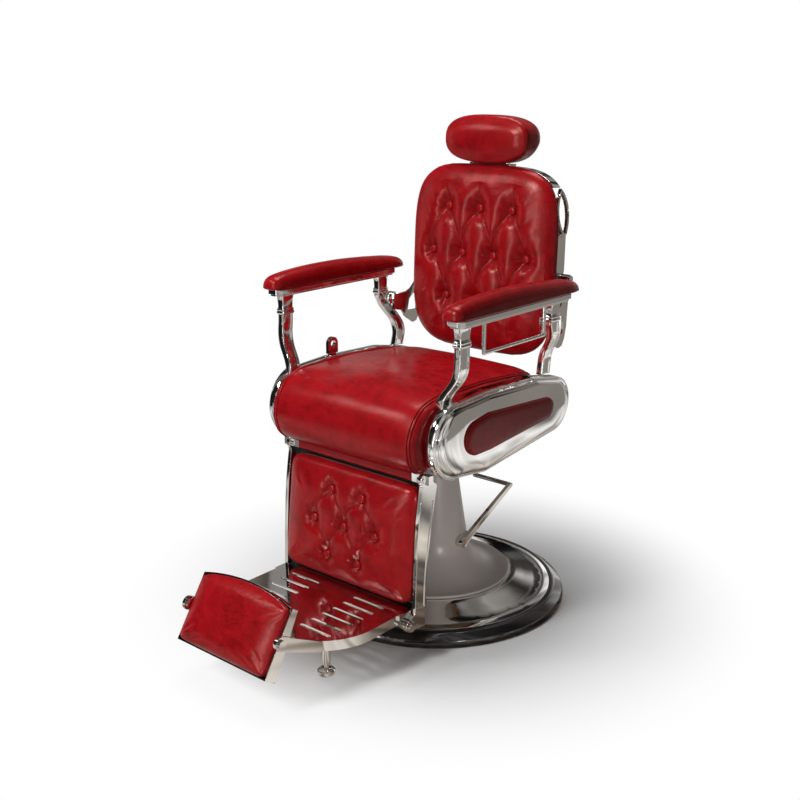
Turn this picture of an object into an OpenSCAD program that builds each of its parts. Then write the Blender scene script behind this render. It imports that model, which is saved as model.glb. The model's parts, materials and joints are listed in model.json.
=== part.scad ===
// Barber chair with a hydraulic column, a swivelling seat between two chrome side
// shells, a back that reclines about the arm ends, and a leg rest with a footplate.
// +Z is up, the origin is on the floor on the column's axis, the sitter faces -Y,
// and "left" is the sitter's left, +X.

/* [Base] */
// Outer diameter of the black floor ring
base_d = 680; // [640:5:720]
// Height of the black floor ring
ring_h = 34; // [30:1:38]
// Radial width of the black floor ring
ring_w = 36; // [32:1:40]
// Thickness of the cast iron foot disc
disc_t = 10; // [8:1:12]
// Distance of the chrome plate's crest from the outer edge of the base
crest_in = 52; // [47:1:60]
// Height of that crest above the floor
crest_z = 40; // [39:1:44]
// Height of the chrome plate under the column flange
deck_z = 60; // [56:1:62]
// Wall of the chrome plate
plate_wall = 4; // [3:0.5:6]

/* [Column] */
// Diameter of the column cover's flange
flange_d = 394; // [360:2:410]
// Height of the top of that flange
flange_z = 67; // [65:1:72]
// Height of the top of the column cover
cover_top = 440; // [430:1:444]
// Outer diameter of the cover at its top
cover_top_d = 88; // [84:1:96]
// Outer diameter of the cone where it starts to flare
cover_low_d = 169; // [160:1:176]
// Height where the cone starts to flare
flare_z = 170; // [165:1:185]
// Wall of the cover
cover_wall = 3; // [2:0.5:4]
// Outer diameter of the hydraulic cylinder
tank_d = 72; // [68:1:74]
// Diameter of the ram
ram_d = 50; // [46:1:52]
// Stroke of the lift
lift_travel = 150; // [80:5:160]

/* [Pump] */
// Height of the lever's pivot shaft
pump_z = 154; // [148:1:158]
// Diameter of the lever's pivot shaft
pump_shaft_d = 16; // [12:1:18]
// Distance of the lever arm from the column's axis
lever_x = 98; // [97:1:104]
// Reach of the lever behind the pivot
lever_reach = 202; // [150:2:206]
// Rise of the lever from pivot to foot bar
lever_rise = 100; // [80:2:110]
// Length of the foot bar
foot_bar_len = 122; // [90:2:130]
// Diameter of the foot bar
foot_bar_d = 12; // [10:1:16]
// Offset of the pump plunger from the shaft
crank_reach = 22; // [18:1:24]
// Diameter of the plunger
plunger_d = 14; // [10:1:16]

/* [Seat] */
// Width of the seat cushion
seat_w = 452; // [440:2:455]
// Height of the seat cushion's seams above the floor
seat_top = 621; // [610:1:624]
// Front of the seat cushion's nose
seat_front = -358; // [-364:1:-350]
// Rear of the seat cushion
seat_rear = 148; // [130:1:150]
// Bottom of the nose
nose_z = 449; // [447:1:460]
// Crown of the seat cushion
seat_crown = 7; // [3:1:10]
// Thickness of the seat board
board_t = 12; // [9:1:13]
// Top of the seat board
board_z = 520; // [518:1:524]
// Width of the cross rails, front to back
rail_w = 40; // [30:1:50]
// Height of the cross rails
rail_h = 16; // [12:1:18]
// Distance of the cross rails from the column's axis
rail_y = 90; // [80:1:100]
// Height of the apron under the nose
apron_h = 21; // [18:1:22]
// Thickness of the apron
apron_t = 17; // [12:1:18]
// Distance of the apron's ends inside the leg rest's side bars
apron_in = 24; // [20:1:32]

/* [Side shells] */
// Gap between the seat cushion and the side shells
shell_gap = 4; // [3:1:8]
// Depth of the shell at its rim
shell_rim = 28; // [24:1:30]
// Depth of the shell at its crown
shell_depth = 42; // [38:1:44]
// Wall of the shell
shell_wall = 3; // [2:0.5:4]
// Front of the shell
shell_front = -324; // [-328:1:-320]
// Rear of the shell
shell_rear = 220; // [212:1:224]
// Top of the shell
shell_top = 616; // [612:1:618]
// Bottom of the shell
shell_low = 421; // [418:1:424]
// Thickness of the inset pad
inset_t = 7; // [5:1:9]
// Width of the band round the shell's front
band_w = 20; // [14:1:24]
// Thickness of that band
band_t = 3.5; // [3:0.5:6]

/* [Arms] */
// Distance of the arms outside the shells' inner rims
arm_out = 47; // [45:1:50]
// Height of the underside of the arm bar
arm_z = 788; // [784:1:790]
// Height of the arm bar
arm_h = 17; // [14:1:20]
// Width of the arm bar
arm_w = 50; // [46:1:52]
// Front of the arm bar
arm_front = -288; // [-292:1:-284]
// Rear of the arm bar
arm_rear = 145; // [140:1:150]
// Height of the arm pad over the bar
arm_pad_h = 46; // [38:1:48]
// Width of the arm pad
arm_pad_w = 58; // [54:1:60]
// Overhang of the arm pad in front
arm_pad_over = 14; // [10:1:16]
// Position of the front post
front_post_y = -249; // [-252:1:-246]
// Position of the rear post
rear_post_y = 104; // [100:1:108]
// Width of the posts, front to back
post_w = 34; // [30:1:38]
// Thickness of the posts
post_t = 18; // [16:1:20]
// Diameter of the towel bar
towel_d = 9; // [7:0.5:10]
// Drop of the towel bar below the arm
towel_drop = 73; // [60:1:80]
// Front leg of the towel bar
towel_front = -175; // [-180:1:-165]
// Rear leg of the towel bar
towel_rear = 63; // [50:1:66]

/* [Back] */
// Position of the back's pivot behind the column's axis
pivot_y = 230; // [228:1:232]
// Height of the back's pivot
pivot_z = 820; // [818:1:822]
// Backward lean of the back at rest, in degrees
back_lean = 2.5; // [0:0.5:3]
// Gap between the back cushion's edge and the shells' inner rims, each side
back_side_gap = 5; // [4:1:10]
// Height of the back cushion
back_h = 478; // [460:2:480]
// Height of the middle of the back cushion
back_mid_z = 849; // [846:1:856]
// Thickness of the back cushion at its edge
back_edge = 15; // [12:1:17]
// Crown of the back cushion over its edge
back_crown = 31; // [24:1:32]
// Thickness of the back's board
back_board_t = 27; // [26:1:30]
// Thickness of the upholstered rear panel
rear_panel_t = 14; // [10:1:16]
// Diameter of the pivot pins of the back
back_pin_d = 12; // [10:1:12]
// Width of the chrome side arms
side_arm_w = 36; // [32:1:38]
// Diameter of the covered buttons
button_d = 20; // [16:1:22]

/* [Headrest] */
// Width of the headrest
head_w = 262; // [250:2:270]
// Height of the headrest
head_h = 114; // [105:1:118]
// Depth of the headrest
head_d = 90; // [80:1:94]
// Gap between back cushion and headrest
head_gap = 4; // [3:1:8]
// Diameter of the headrest posts
head_post_d = 12; // [10:1:14]
// Spacing of the headrest posts
head_post_gap = 90; // [80:2:96]
// Travel of the headrest
head_travel = 90; // [40:5:100]

/* [Leg rest] */
// Position of the leg rest's hinge
knee_y = -300; // [-302:1:-298]
// Height of the leg rest's hinge
knee_z = 436; // [434:1:438]
// Lean of the leg rest at rest, in degrees
leg_lean = 6.3; // [4:0.1:7]
// Length of the side bars below the hinge
leg_len = 358; // [350:1:360]
// Depth of the side bars at their waist
leg_bar_w = 40; // [36:1:44]
// Thickness of the side bars
leg_bar_t = 10; // [8:1:12]
// Distance of the side bars' inner faces inside the shells' inner rims
leg_bar_in = 26; // [25:0.5:27]
// Gap between the leg pad and each side bar
leg_pad_gap = 2.5; // [1:0.5:10]
// Top of the leg pad below the hinge
leg_pad_top = 20; // [20:1:26]
// Bottom of the leg pad below the hinge
leg_pad_low = 304; // [295:1:306]
// Diameter of the hinge pins
knee_pin_d = 16; // [12:1:16]

/* [Footplate] */
// Top of the footplate
plate_z = 126; // [124:1:130]
// Thickness of the footplate
plate_t = 4; // [3:0.5:6]
// Gap between the footplate and each side bar
foot_gap = 6; // [5:0.5:8]
// Front of the footplate
foot_front = -612; // [-616:1:-605]
// Corner radius of the footplate
foot_r = 150; // [130:2:160]
// Height of the footplate's skirt
skirt_h = 24; // [20:1:26]
// Length of the slots
slot_len = 93; // [80:1:96]
// Width of the slots
slot_w = 9; // [7:0.5:10]
// Pitch of the slots
slot_pitch = 35; // [33:0.5:36]
// Number of slots in a column
slot_count = 6; // [3:1:6]
// Diameter of the support legs
stem_d = 20; // [18:1:22]
// Diameter of the levelling feet
foot_d = 41; // [34:1:44]
// Clearance of the levelling feet above the floor
foot_clear = 8; // [6:1:12]

/* [Kick pad] */
// Position of the kick pad's pivot
kick_y = -693; // [-696:1:-690]
// Height of the kick pad's pivot
kick_z = 168; // [166:1:172]
// Tilt of the kick pad at rest, in degrees
kick_tilt = 33; // [25:1:36]
// Width of the kick tray
kick_w = 284; // [270:2:284]
// Height of the kick tray at its sides
kick_h = 158; // [150:2:162]
// Rise of the kick tray's arched top edge
kick_arch = 19; // [10:1:20]
// Depth of the kick tray at its lower edge
kick_d = 35; // [30:1:40]
// Diameter of the kick pivots
kick_pin_d = 12; // [10:1:14]

/* [Recline lever] */
// Position of the recline lever
recline_y = -116; // [-122:1:-110]
// Height of the recline lever's pivot
recline_z = 584; // [580:1:588]
// Height of the top of the recline lever
recline_top = 663; // [655:1:668]

/* [Fits] */
// Radial clearance of the pins and shafts that turn or slide
run_fit = 0.05; // [0.03:0.01:0.08]
// Gap between pieces that are seated or stacked
seat_gap = 0.3; // [0.2:0.05:0.5]

/* [Hidden] */
$fn = 64;
over = 2;

// Colours
chrome_c = "silver";
red_c = [0.62, 0.06, 0.09];
dark_c = [0.05, 0.05, 0.05];
grey_c = [0.48, 0.45, 0.43];
iron_c = [0.25, 0.25, 0.26];
wood_c = [0.55, 0.4, 0.26];
bronze_c = [0.65, 0.5, 0.25];

// Widths across the chair, from the seat outwards and inwards
shell_x = seat_w / 2 + shell_gap;
arm_x = shell_x + arm_out;
back_w = 2 * (shell_x - back_side_gap);
leg_bar_x = shell_x - leg_bar_in;
leg_pad_w = 2 * (leg_bar_x - leg_pad_gap);
apron_w = 2 * (leg_bar_x - apron_in);
foot_w = 2 * (leg_bar_x - foot_gap);

// Base
ring_r = base_d / 2 - ring_w;
ring_edge = 3;
ring_land = 8;
deck_bore_r = 20;

// Column
cover_bore_pad = 7;
cover_boss_r = 17;
tank_foot_r = 70;
tank_foot_t = 10;
tank_wall = 8;
tank_top = 420;
bush_flange_t = 4;
bush_flange_r = 34;
bush_len = 30;
bush_r = 29;
bolt_ring_r = 54;
bolt_r = 5;
bolt_head_r = 8;
bolt_head_h = 6;
bolt_count = 4;
ram_foot_z = 92;
collar_r = 38;
collar_t = 5;
collar_gap = 1;
collar_z = cover_top + collar_gap;
spigot_r = 18;
spigot_len = 42;
washer_t = 4;
washer_z = collar_z + collar_t;

// Pump
block_w = 36;
block_x0 = 26;
block_x1 = 64;
block_z0 = deck_z + tank_foot_t + 3;
block_h = 55;
plunger_x = 50;
plunger_head_r = 10;
plunger_head_h = 6;
plunger_len = 50;
crank_r = 8;
crank_t = 12;
lever_t = 10;
lever_hub_r = 14;
lever_root_h = 18;
lever_tip_h = 11;
crank_web = 7;

// Seat
hub_r = 48;
hub_z = washer_z + washer_t + seat_gap;
rail_z = board_z - board_t - rail_h;
hub_cap_r = 112;
hub_cap_t = 8;
board_front = -282;
board_rear = 138;
board_side_gap = 21;
board_w = seat_w - 2 * board_side_gap;
nose_depth_shares = [0, 0, 0.006, 0.035, 0.07, 0.1, 0.13, 0.148, 0.15];
seat_side_power = 10;

// Outline of the shell: circles that it hugs
shell_front_r = 88;
shell_nose_z = 522;
shell_low_r = 60;
shell_low_y = -130;
shell_rear_r = 70;
shell_rear_z = 520;
shell_top_r = 60;
shell_top_y = -130;
shell_back_top_y = 50;
shell_back_drop = 7;
inset_front_r = 40;
inset_rear_r = 27;
inset_front_y = -190;
inset_front_z = 521;
inset_rear_y = 93;
inset_rise = 5;
inset_mid_y = -140;
inset_mid_swell = 4;
inset_border = 6;
lug_h = rail_h;
lug_w = rail_w;

// Arms
arm_chamfer = 12;
arm_step = 4;
arm_step_h = 5;
post_neck_z = 742;
post_in_bead = 6;
post_recess = 2.5;
post_rim = 5;
bead_h = 12;
bead_out = 4;
neck_out = 2;
bracket_out = 2;
bracket_x = shell_x + bracket_out;
bracket_t = 6;
bracket_eye_r = 11;
bracket_low = 652;
bracket_high = 744;
bracket_front = 112;
bracket_rear = 226;
bracket_lug_h = 26;
knob_h = 5;

// Back
back_plane = 198;
board_in = 21;
side_arm_x = back_w / 2 - board_in + seat_gap;
side_arm_t = 8;
side_arm_y = 224;
hub_outer = bracket_x - seat_gap;
board_y = 215;
hoop_t = 9;
hoop_w = 30;
hoop_drop = 48;
hoop_low = back_mid_z + back_h / 2 - hoop_drop;
ear_h = 126;
ear_w = 50;
ear_wall = 7;
ear_z = 978;
ear_y = 225;
ear_lean = 14;
outline_power = 4;
guide_w = 124;
guide_t = 5;
post_bore_depth = 190;
back_tuft = 98;
back_tuft_row = 116;

// Headrest
head_back = 256;
head_post_y = 216;
head_rod_r = 7;
head_rod_up = 36;
head_pocket_w = 124;
head_pocket_up = 60;
head_pocket_d = 60;
hinge_w = 110;
hinge_plate_t = 4;
lug_t = 6;
head_lug_x = 22;
head_lug_r = 11;
post_below = 150;
head_power = 3.2;
head_soft = 7;

// Leg rest
leg_cap_r = 15;
leg_rim = 5;
leg_recess = 2;
knee_block_y = -306;
knee_block_w = 16;
knee_block_z = 428;
knee_block_x = apron_w / 2 + seat_gap;
leg_board_t = 12;
leg_board_y = 24;
leg_pad_edge = 29;
leg_pad_crown = 29;
leg_tuft = 97;
leg_tuft_row = 81;

// Footplate
foot_rear = -346;
slot_rear = -371;
slot_x = 57;
arm_bar_t = 7;
kick_arm_x = 144;
kick_eye_r = 16;
kick_arm_root_y = -577;
lug_screw_y = -350;
lug_screw_z = 95;
lug_r = 13;
screw_r = 6;
screw_head_r = 13;
screw_head_h = 6;
stem_x = 108;
stem_y = -518;
stem_z = 34;
foot_h = 17;
foot_screw_r = 6;
foot_screw_len = 46;

// Kick pad
kick_front = 4;
kick_top_d = 15;
kick_low = -82;
kick_wall = 3;
kick_pad_back = 15.7;
kick_pad_edge = 16;
kick_pad_crown = 15;
kick_knob_r = 10;
kick_knob_h = 5;

// Recline lever
recline_t = 10;
recline_x = shell_x + 15;
recline_pin_r = 5;
recline_grip_w = 34;
recline_slot_w = 62;
recline_block_w = 30;

// Point of the unit superellipse in the direction of a point of the unit square
function norm_of(u, v, n) = pow(pow(abs(u), n) + pow(abs(v), n), 1 / n);
function squircle(u, v, n) = let (m = max(abs(u), abs(v)), l = norm_of(u, v, n))
    m == 0 ? [0, 0] : [u * m / l, v * m / l];
function outline(a, b, n) = [for (t = [0:5:355]) let (c = cos(t), s = sin(t))
    [a * sign(c) * pow(abs(c), 2 / n), b * sign(s) * pow(abs(s), 2 / n)]];

// Grid lines gathered towards the edge by a share
gather_share = 0.45;
function gather(t) = (1 - gather_share) * t + gather_share * sin(90 * t);
function rise(m, soft = 5) = sqrt(max(0, 1 - pow(m, soft)));

// Hollow drawn by the nearest button, and by the nearest pleat
function dent(p, dots, deep, r) = len(dots) == 0 ? 0 :
    deep * max([for (d = dots) exp(-pow(norm(p - d) / r, 2))]);
function seam_gap(p, s) = let (a = s[0], b = s[1], t = (p - a) * (b - a) / ((b - a) * (b - a)),
    k = max(0, min(1, t))) norm(p - a - k * (b - a));
function crease(p, seams, deep, w) = len(seams) == 0 ? 0 :
    deep * max([for (s = seams) exp(-pow(seam_gap(p, s) / w, 2))]);

// Upholstered pad: back plane at y = 0, crowned face towards -Y, x across, z up
module pad(hw, hh, power, edge, crown, nu, nv, taper_share = 0, fall_share = 0, rear_fall_share = 0,
    dots = [], seams = [], dot_deep = 0, dot_r = 1, seam_deep = 0, seam_w = 1, rear_crown = 0, soft = 5, arch = 0) {
    us = [for (i = [0:nu]) gather(2 * i / nu - 1)];
    vs = [for (j = [0:nv]) gather(2 * j / nv - 1)];
    flat_pts = [for (v = vs) for (u = us) let (p = squircle(u, v, power))
        [hw * p[0] * (1 - taper_share * p[1]), hh * p[1] + arch * max(0, p[1]) * (1 - p[0] * p[0]),
            max(abs(u), abs(v)), p[1]]];
    face = [for (q = flat_pts) let (p = [q[0], q[1]], k = rise(q[2], soft),
        h = crown * (1 - (q[3] < 0 ? fall_share : rear_fall_share) * q[3] * q[3]),
        d = max(dent(p, dots, dot_deep, dot_r), crease(p, seams, seam_deep, seam_w)))
        [q[0], -edge - k * (h - d), q[1]]];
    rear = [for (q = flat_pts) [q[0], rear_crown * rise(q[2], soft), q[1]]];
    n = len(face);
    row = nu + 1;
    loop = concat([for (i = [0:nu - 1]) i], [for (j = [0:nv - 1]) j * row + nu],
        [for (i = [0:nu - 1]) nv * row + nu - i], [for (j = [0:nv - 1]) (nv - j) * row]);
    turns = len(loop);
    fronts = [for (j = [0:nv - 1]) for (i = [0:nu - 1]) let (a = j * row + i)
        each [[a, a + row, a + row + 1], [a, a + row + 1, a + 1]]];
    sides = [for (k = [0:turns - 1]) let (f0 = loop[k], f1 = loop[(k + 1) % turns])
        let (b0 = rear_crown > 0 ? n + f0 : n + k, b1 = rear_crown > 0 ? n + f1 : n + (k + 1) % turns)
        each [[f0, f1, b0], [f1, b1, b0]]];
    backs = rear_crown > 0 ? [for (j = [0:nv - 1]) for (i = [0:nu - 1]) let (a = n + j * row + i)
        each [[a, a + row + 1, a + row], [a, a + 1, a + row + 1]]]
        : [for (k = [0:turns - 1]) [n + turns, n + k, n + (k + 1) % turns]];
    rear_pts = rear_crown > 0 ? rear
        : concat([for (f = loop) [face[f][0], 0, face[f][2]]], [[0, 0, 0]]);
    polyhedron(points = concat(face, rear_pts), faces = concat(fronts, sides, backs), convexity = 4);
}

// A piece of one side, and its mirror image on the other
module on_side(s) {
    if (s > 0) children();
    else mirror([1, 0, 0]) children();
}

// A plate drawn in the YZ plane, from x to x + t
module yz_plate(x, t) {
    translate([x, 0, 0]) rotate([90, 0, 90]) linear_extrude(t) children();
}

// A round bar along X
module x_bar(r, x0, x1, y, z) {
    translate([x0, y, z]) rotate([0, 90, 0]) cylinder(r = r, h = x1 - x0);
}

// Base

module base_ring() {
    color(dark_c) rotate_extrude($fn = 128) polygon([[ring_r + seat_gap, 0], [base_d / 2 - ring_edge, 0],
        [base_d / 2, ring_edge], [base_d / 2, ring_edge + ring_land],
        [base_d / 2 - ring_edge, ring_edge + 2 * ring_land], [ring_r + 2 * ring_land, ring_h - ring_edge],
        [ring_r + ring_land, ring_h], [ring_r + seat_gap, ring_h]]);
}

module base_disc() {
    color(iron_c) difference() {
        cylinder(r = ring_r, h = disc_t, $fn = 128);
        for (a = [0:360 / bolt_count:359]) rotate(a) translate([bolt_ring_r, 0, -over])
            cylinder(r = bolt_r / 2, h = disc_t + 2 * over);
    }
}

module base_plate() {
    r0 = base_d / 2 - crest_in;
    w = plate_wall;
    color(chrome_c) rotate_extrude($fn = 128) polygon([[ring_r, disc_t], [ring_r, ring_h],
        [r0 + w, crest_z - w / 4], [r0, crest_z], [r0 - 2 * w, crest_z - w / 4],
        [(r0 + flange_d / 2) / 2, (crest_z + deck_z) / 2 - w / 2], [flange_d / 2 + 2 * w, deck_z - w / 2],
        [flange_d / 2 - 2 * w, deck_z], [tank_foot_r + w, deck_z], [tank_foot_r + w, deck_z - w],
        [flange_d / 2 - 2 * w, deck_z - w], [(r0 + flange_d / 2) / 2, (crest_z + deck_z) / 2 - 2 * w],
        [r0 - 2 * w, crest_z - 3 * w / 2], [r0, crest_z - w], [ring_r - w, ring_h - w], [ring_r - w, disc_t]]);
}

// Column

// Radius of the cover at a height above the flare, and along the flare
function cone_r(z) = cover_low_d / 2 + (cover_top_d - cover_low_d) / 2 * (z - flare_z) / (cover_top - flare_z);
function flare_point(t, wall) = [cover_low_d / 2 - wall + (flange_d - cover_low_d) / 2 * (1 - cos(t)),
    flare_z - (flare_z - flange_z) * sin(t) - wall * sin(t)];

module column_cover() {
    w = cover_wall;
    color(grey_c) difference() {
        union() {
            rotate_extrude($fn = 128) polygon(concat(
                [[cover_top_d / 2 - w, cover_top], [cover_top_d / 2, cover_top]],
                [for (t = [0:9:90]) flare_point(t, 0)],
                [[flange_d / 2 + w / 2, flange_z - w], [flange_d / 2, deck_z + seat_gap],
                 [flange_d / 2 - 2 * w, deck_z + seat_gap]],
                [for (t = [81:-9:0]) flare_point(t, w)]));
            x_bar(cover_boss_r, cover_low_d / 2 - cover_bore_pad, cover_low_d / 2 + cover_bore_pad, 0, pump_z);
        }
        x_bar(pump_shaft_d / 2 + run_fit, cover_low_d / 2 - 2 * cover_bore_pad,
            cover_low_d / 2 + 2 * cover_bore_pad, 0, pump_z);
    }
}

module pump_cylinder() {
    bore = ram_d / 2 + over;
    color(iron_c) difference() {
        union() {
            translate([0, 0, disc_t]) cylinder(d = tank_d, h = tank_top - disc_t - bush_flange_t);
            translate([0, 0, disc_t]) cylinder(r = tank_foot_r, h = tank_foot_t);
        }
        translate([0, 0, disc_t + tank_wall]) cylinder(r = bore, h = tank_top);
        translate([0, 0, tank_top - bush_flange_t - bush_len]) cylinder(r = bush_r + seat_gap / 2, h = tank_top);
        for (a = [0:360 / bolt_count:359]) rotate(a) translate([bolt_ring_r, 0, 0])
            cylinder(r = bolt_r + seat_gap, h = disc_t + tank_foot_t + over);
    }
}

module cylinder_bolts() {
    z = disc_t + tank_foot_t;
    color(chrome_c) for (a = [0:360 / bolt_count:359]) rotate(a) translate([bolt_ring_r, 0, 0]) union() {
        translate([0, 0, disc_t]) cylinder(r = bolt_r, h = tank_foot_t);
        translate([0, 0, z]) cylinder(r = bolt_head_r, h = bolt_head_h, $fn = 6);
    }
}

module guide_bush() {
    color(bronze_c) difference() {
        union() {
            translate([0, 0, tank_top - bush_flange_t - bush_len]) cylinder(r = bush_r, h = bush_len);
            translate([0, 0, tank_top - bush_flange_t]) cylinder(r = bush_flange_r, h = bush_flange_t);
        }
        cylinder(r = ram_d / 2 + run_fit, h = tank_top + over);
    }
}

module pump_block() {
    color(iron_c) difference() {
        translate([block_x0, crank_reach - block_w / 2, block_z0]) cube([block_x1 - block_x0, block_w, block_h]);
        cylinder(d = tank_d + seat_gap, h = cover_top);
        translate([plunger_x, crank_reach, block_z0 + bolt_r]) cylinder(d = plunger_d + 2 * run_fit, h = block_h);
    }
}

// Pump lever, its shaft and the plunger

module lever_shaft() {
    r = pump_shaft_d / 2;
    color(chrome_c) union() {
        x_bar(r, plunger_x - crank_t / 2, lever_x - lever_t / 2, 0, pump_z);
        x_bar(r - 2, lever_x - lever_t / 2, lever_x + lever_t / 2 + over, 0, pump_z);
        translate([plunger_x - crank_t / 2, 0, pump_z - crank_web / 2]) cube([crank_t, crank_reach, crank_web]);
        x_bar(crank_web / 2, plunger_x - crank_t / 2, plunger_x + crank_t / 2, crank_reach, pump_z);
    }
}

module pump_lever() {
    x0 = lever_x - lever_t / 2;
    tilt = atan(lever_rise / lever_reach);
    reach = norm([lever_rise, lever_reach]);
    tip_y = lever_reach;
    tip_z = pump_z + lever_rise;
    color(chrome_c) difference() {
        union() {
            translate([0, 0, pump_z]) rotate([tilt, 0, 0]) yz_plate(x0, lever_t) polygon([[0, -lever_root_h / 2],
                [reach, -lever_tip_h / 2], [reach, lever_tip_h / 2], [0, lever_root_h / 2]]);
            x_bar(lever_tip_h / 2, x0, x0 + lever_t, tip_y, tip_z);
            x_bar(lever_hub_r, x0, x0 + lever_t, 0, pump_z);
            x_bar(foot_bar_d / 2, x0 + lever_t - foot_bar_len, x0, tip_y, tip_z);
            translate([x0 + lever_t - foot_bar_len, tip_y, tip_z]) sphere(d = foot_bar_d);
        }
        x_bar(pump_shaft_d / 2 - 2 + seat_gap / 10, x0 - over, x0 + lever_t + over, 0, pump_z);
    }
}

module plunger() {
    top = pump_z - crank_web / 2 - seat_gap;
    color(chrome_c) translate([plunger_x, crank_reach, 0]) union() {
        translate([0, 0, top - plunger_len]) cylinder(d = plunger_d, h = plunger_len);
        translate([0, 0, top - plunger_head_h]) cylinder(r = plunger_head_r, h = plunger_head_h);
    }
}

// Lift

module ram() {
    color(chrome_c) union() {
        translate([0, 0, ram_foot_z]) cylinder(d = ram_d, h = collar_z - ram_foot_z);
        translate([0, 0, collar_z]) cylinder(r = collar_r, h = collar_t);
        translate([0, 0, collar_z]) cylinder(r = spigot_r, h = spigot_len);
    }
}

module thrust_washer() {
    color(bronze_c) translate([0, 0, washer_z]) difference() {
        cylinder(r = collar_r, h = washer_t);
        translate([0, 0, -over]) cylinder(r = spigot_r + seat_gap / 2, h = washer_t + 2 * over);
    }
}

// Seat

module seat_hub() {
    color(iron_c) difference() {
        union() {
            translate([0, 0, hub_z]) cylinder(r = hub_r, h = rail_z - hub_z);
            translate([0, 0, rail_z - hub_cap_t]) cylinder(r = hub_cap_r, h = hub_cap_t);
        }
        translate([0, 0, hub_z - over]) cylinder(r = spigot_r + run_fit, h = collar_z + spigot_len - hub_z + over
            + seat_gap);
    }
}

module cross_rail(y) {
    color(iron_c) translate([-shell_x + seat_gap, y - rail_w / 2, rail_z])
        cube([2 * (shell_x - seat_gap), rail_w, rail_h]);
}

module front_rail() { cross_rail(-rail_y); }

module rear_rail() { cross_rail(rail_y); }

module seat_board() {
    color(wood_c) translate([-board_w / 2, board_front, board_z - board_t])
        cube([board_w, board_rear - board_front, board_t]);
}

// Side profile of the cushion as shares of its length from the nose and of its
// height from the bottom of the nose, all the way round from the rear bottom
seat_floor_share = (board_z + seat_gap - nose_z) / (seat_top - nose_z);
seat_step_share = (board_front - seat_gap - seat_front) / (seat_rear - seat_front);
seat_profile_shares = [[0.985, seat_floor_share], [1, 0.58], [0.995, 0.74], [0.975, 0.85], [0.93, 0.91],
    [0.83, 0.945], [0.7, 0.975], [0.55, 1], [0.4, 1], [0.25, 1], [0.18, 0.985], [0.12, 0.94], [0.075, 0.865],
    [0.04, 0.75], [0.01, 0.59], [0, 0.42], [0.006, 0.27], [0.025, 0.13], [0.06, 0.035], [0.1, 0],
    [0.135, 0.03], [seat_step_share, 0.12], [seat_step_share, seat_floor_share]];
seat_eye_share = [0.115, 0.55];

module seat_cushion() {
    len_y = seat_rear - seat_front;
    len_z = seat_top - nose_z;
    eye = [seat_front + seat_eye_share[0] * len_y, nose_z + seat_eye_share[1] * len_z];
    shape = [for (q = seat_profile_shares) [seat_front + q[0] * len_y, nose_z + q[1] * len_z]];
    turns = [for (t = [2, 9, 20, 38, 58, 76, 90]) t];
    cuts = concat([for (t = turns) [-pow(cos(t), 2 / seat_side_power), pow(sin(t), 2 / seat_side_power)]],
        [for (k = [len(turns) - 2:-1:0]) [pow(cos(turns[k]), 2 / seat_side_power),
            pow(sin(turns[k]), 2 / seat_side_power)]]);
    points = [for (c = cuts) for (p = shape) let (up = p[1] > board_z + seat_gap ?
        seat_crown * (1 - c[0] * c[0]) * (p[1] - board_z) / (seat_top - board_z) : 0)
        [c[0] * seat_w / 2, eye[0] + (p[0] - eye[0]) * c[1],
            max(eye[1] + (p[1] - eye[1]) * c[1] + up,
                p[0] > board_front ? board_z + seat_gap : nose_z)]];
    m = len(shape);
    last = len(cuts) - 1;
    skin = [for (i = [0:last - 1]) for (k = [0:m - 1]) let (a = i * m + k, b = i * m + (k + 1) % m)
        each [[a, b, b + m], [a, b + m, a + m]]];
    n = len(points);
    caps = [for (k = [0:m - 1]) each [[n, (k + 1) % m, k], [n + 1, last * m + k, last * m + (k + 1) % m]]];
    color(red_c) polyhedron(points = concat(points, [[cuts[0][0] * seat_w / 2, eye[0], eye[1]],
        [cuts[last][0] * seat_w / 2, eye[0], eye[1]]]), faces = concat(skin, caps), convexity = 6);
}

module apron() {
    color(red_c) translate([-apron_w / 2, board_front - seat_gap - apron_t - ring_land, nose_z - seat_gap - apron_h])
        cube([apron_w, apron_t, apron_h]);
}

// Side shells

// Outlines that hug three or four circles, given as centre and radius
shell_circles = [[shell_front + shell_front_r, shell_nose_z, shell_front_r],
    [shell_low_y, shell_low + shell_low_r, shell_low_r], [shell_rear - shell_rear_r, shell_rear_z, shell_rear_r],
    [shell_top_y, shell_top - shell_top_r, shell_top_r],
    [shell_back_top_y, shell_top - shell_top_r - shell_back_drop, shell_top_r],
    [(shell_back_top_y + shell_rear - shell_rear_r) / 2 + ring_land, shell_top - shell_top_r - 3 * shell_back_drop + 3,
        shell_top_r]];
inset_circles = [[inset_front_y, inset_front_z, inset_front_r],
    [inset_mid_y, inset_front_z + inset_mid_swell, inset_front_r + inset_mid_swell],
    [inset_rear_y, inset_front_z + inset_rise, inset_rear_r]];
hug_step = 6;
function reach_of(c, d) = c[0] * d[0] + c[1] * d[1] + c[2];
function hug(cs, grow = 0) = [for (t = [0:hug_step:359]) let (d = [cos(t), sin(t)],
    far = max([for (c = cs) reach_of(c, d)]), k = [for (c = cs) if (reach_of(c, d) == far) c][0])
    [k[0] + (k[2] + grow) * d[0], k[1] + (k[2] + grow) * d[1]]];

module shell_outline(grow = 0) { polygon(hug(shell_circles, grow)); }

module inset_outline(grow = 0) { polygon(hug(inset_circles, grow)); }

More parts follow.
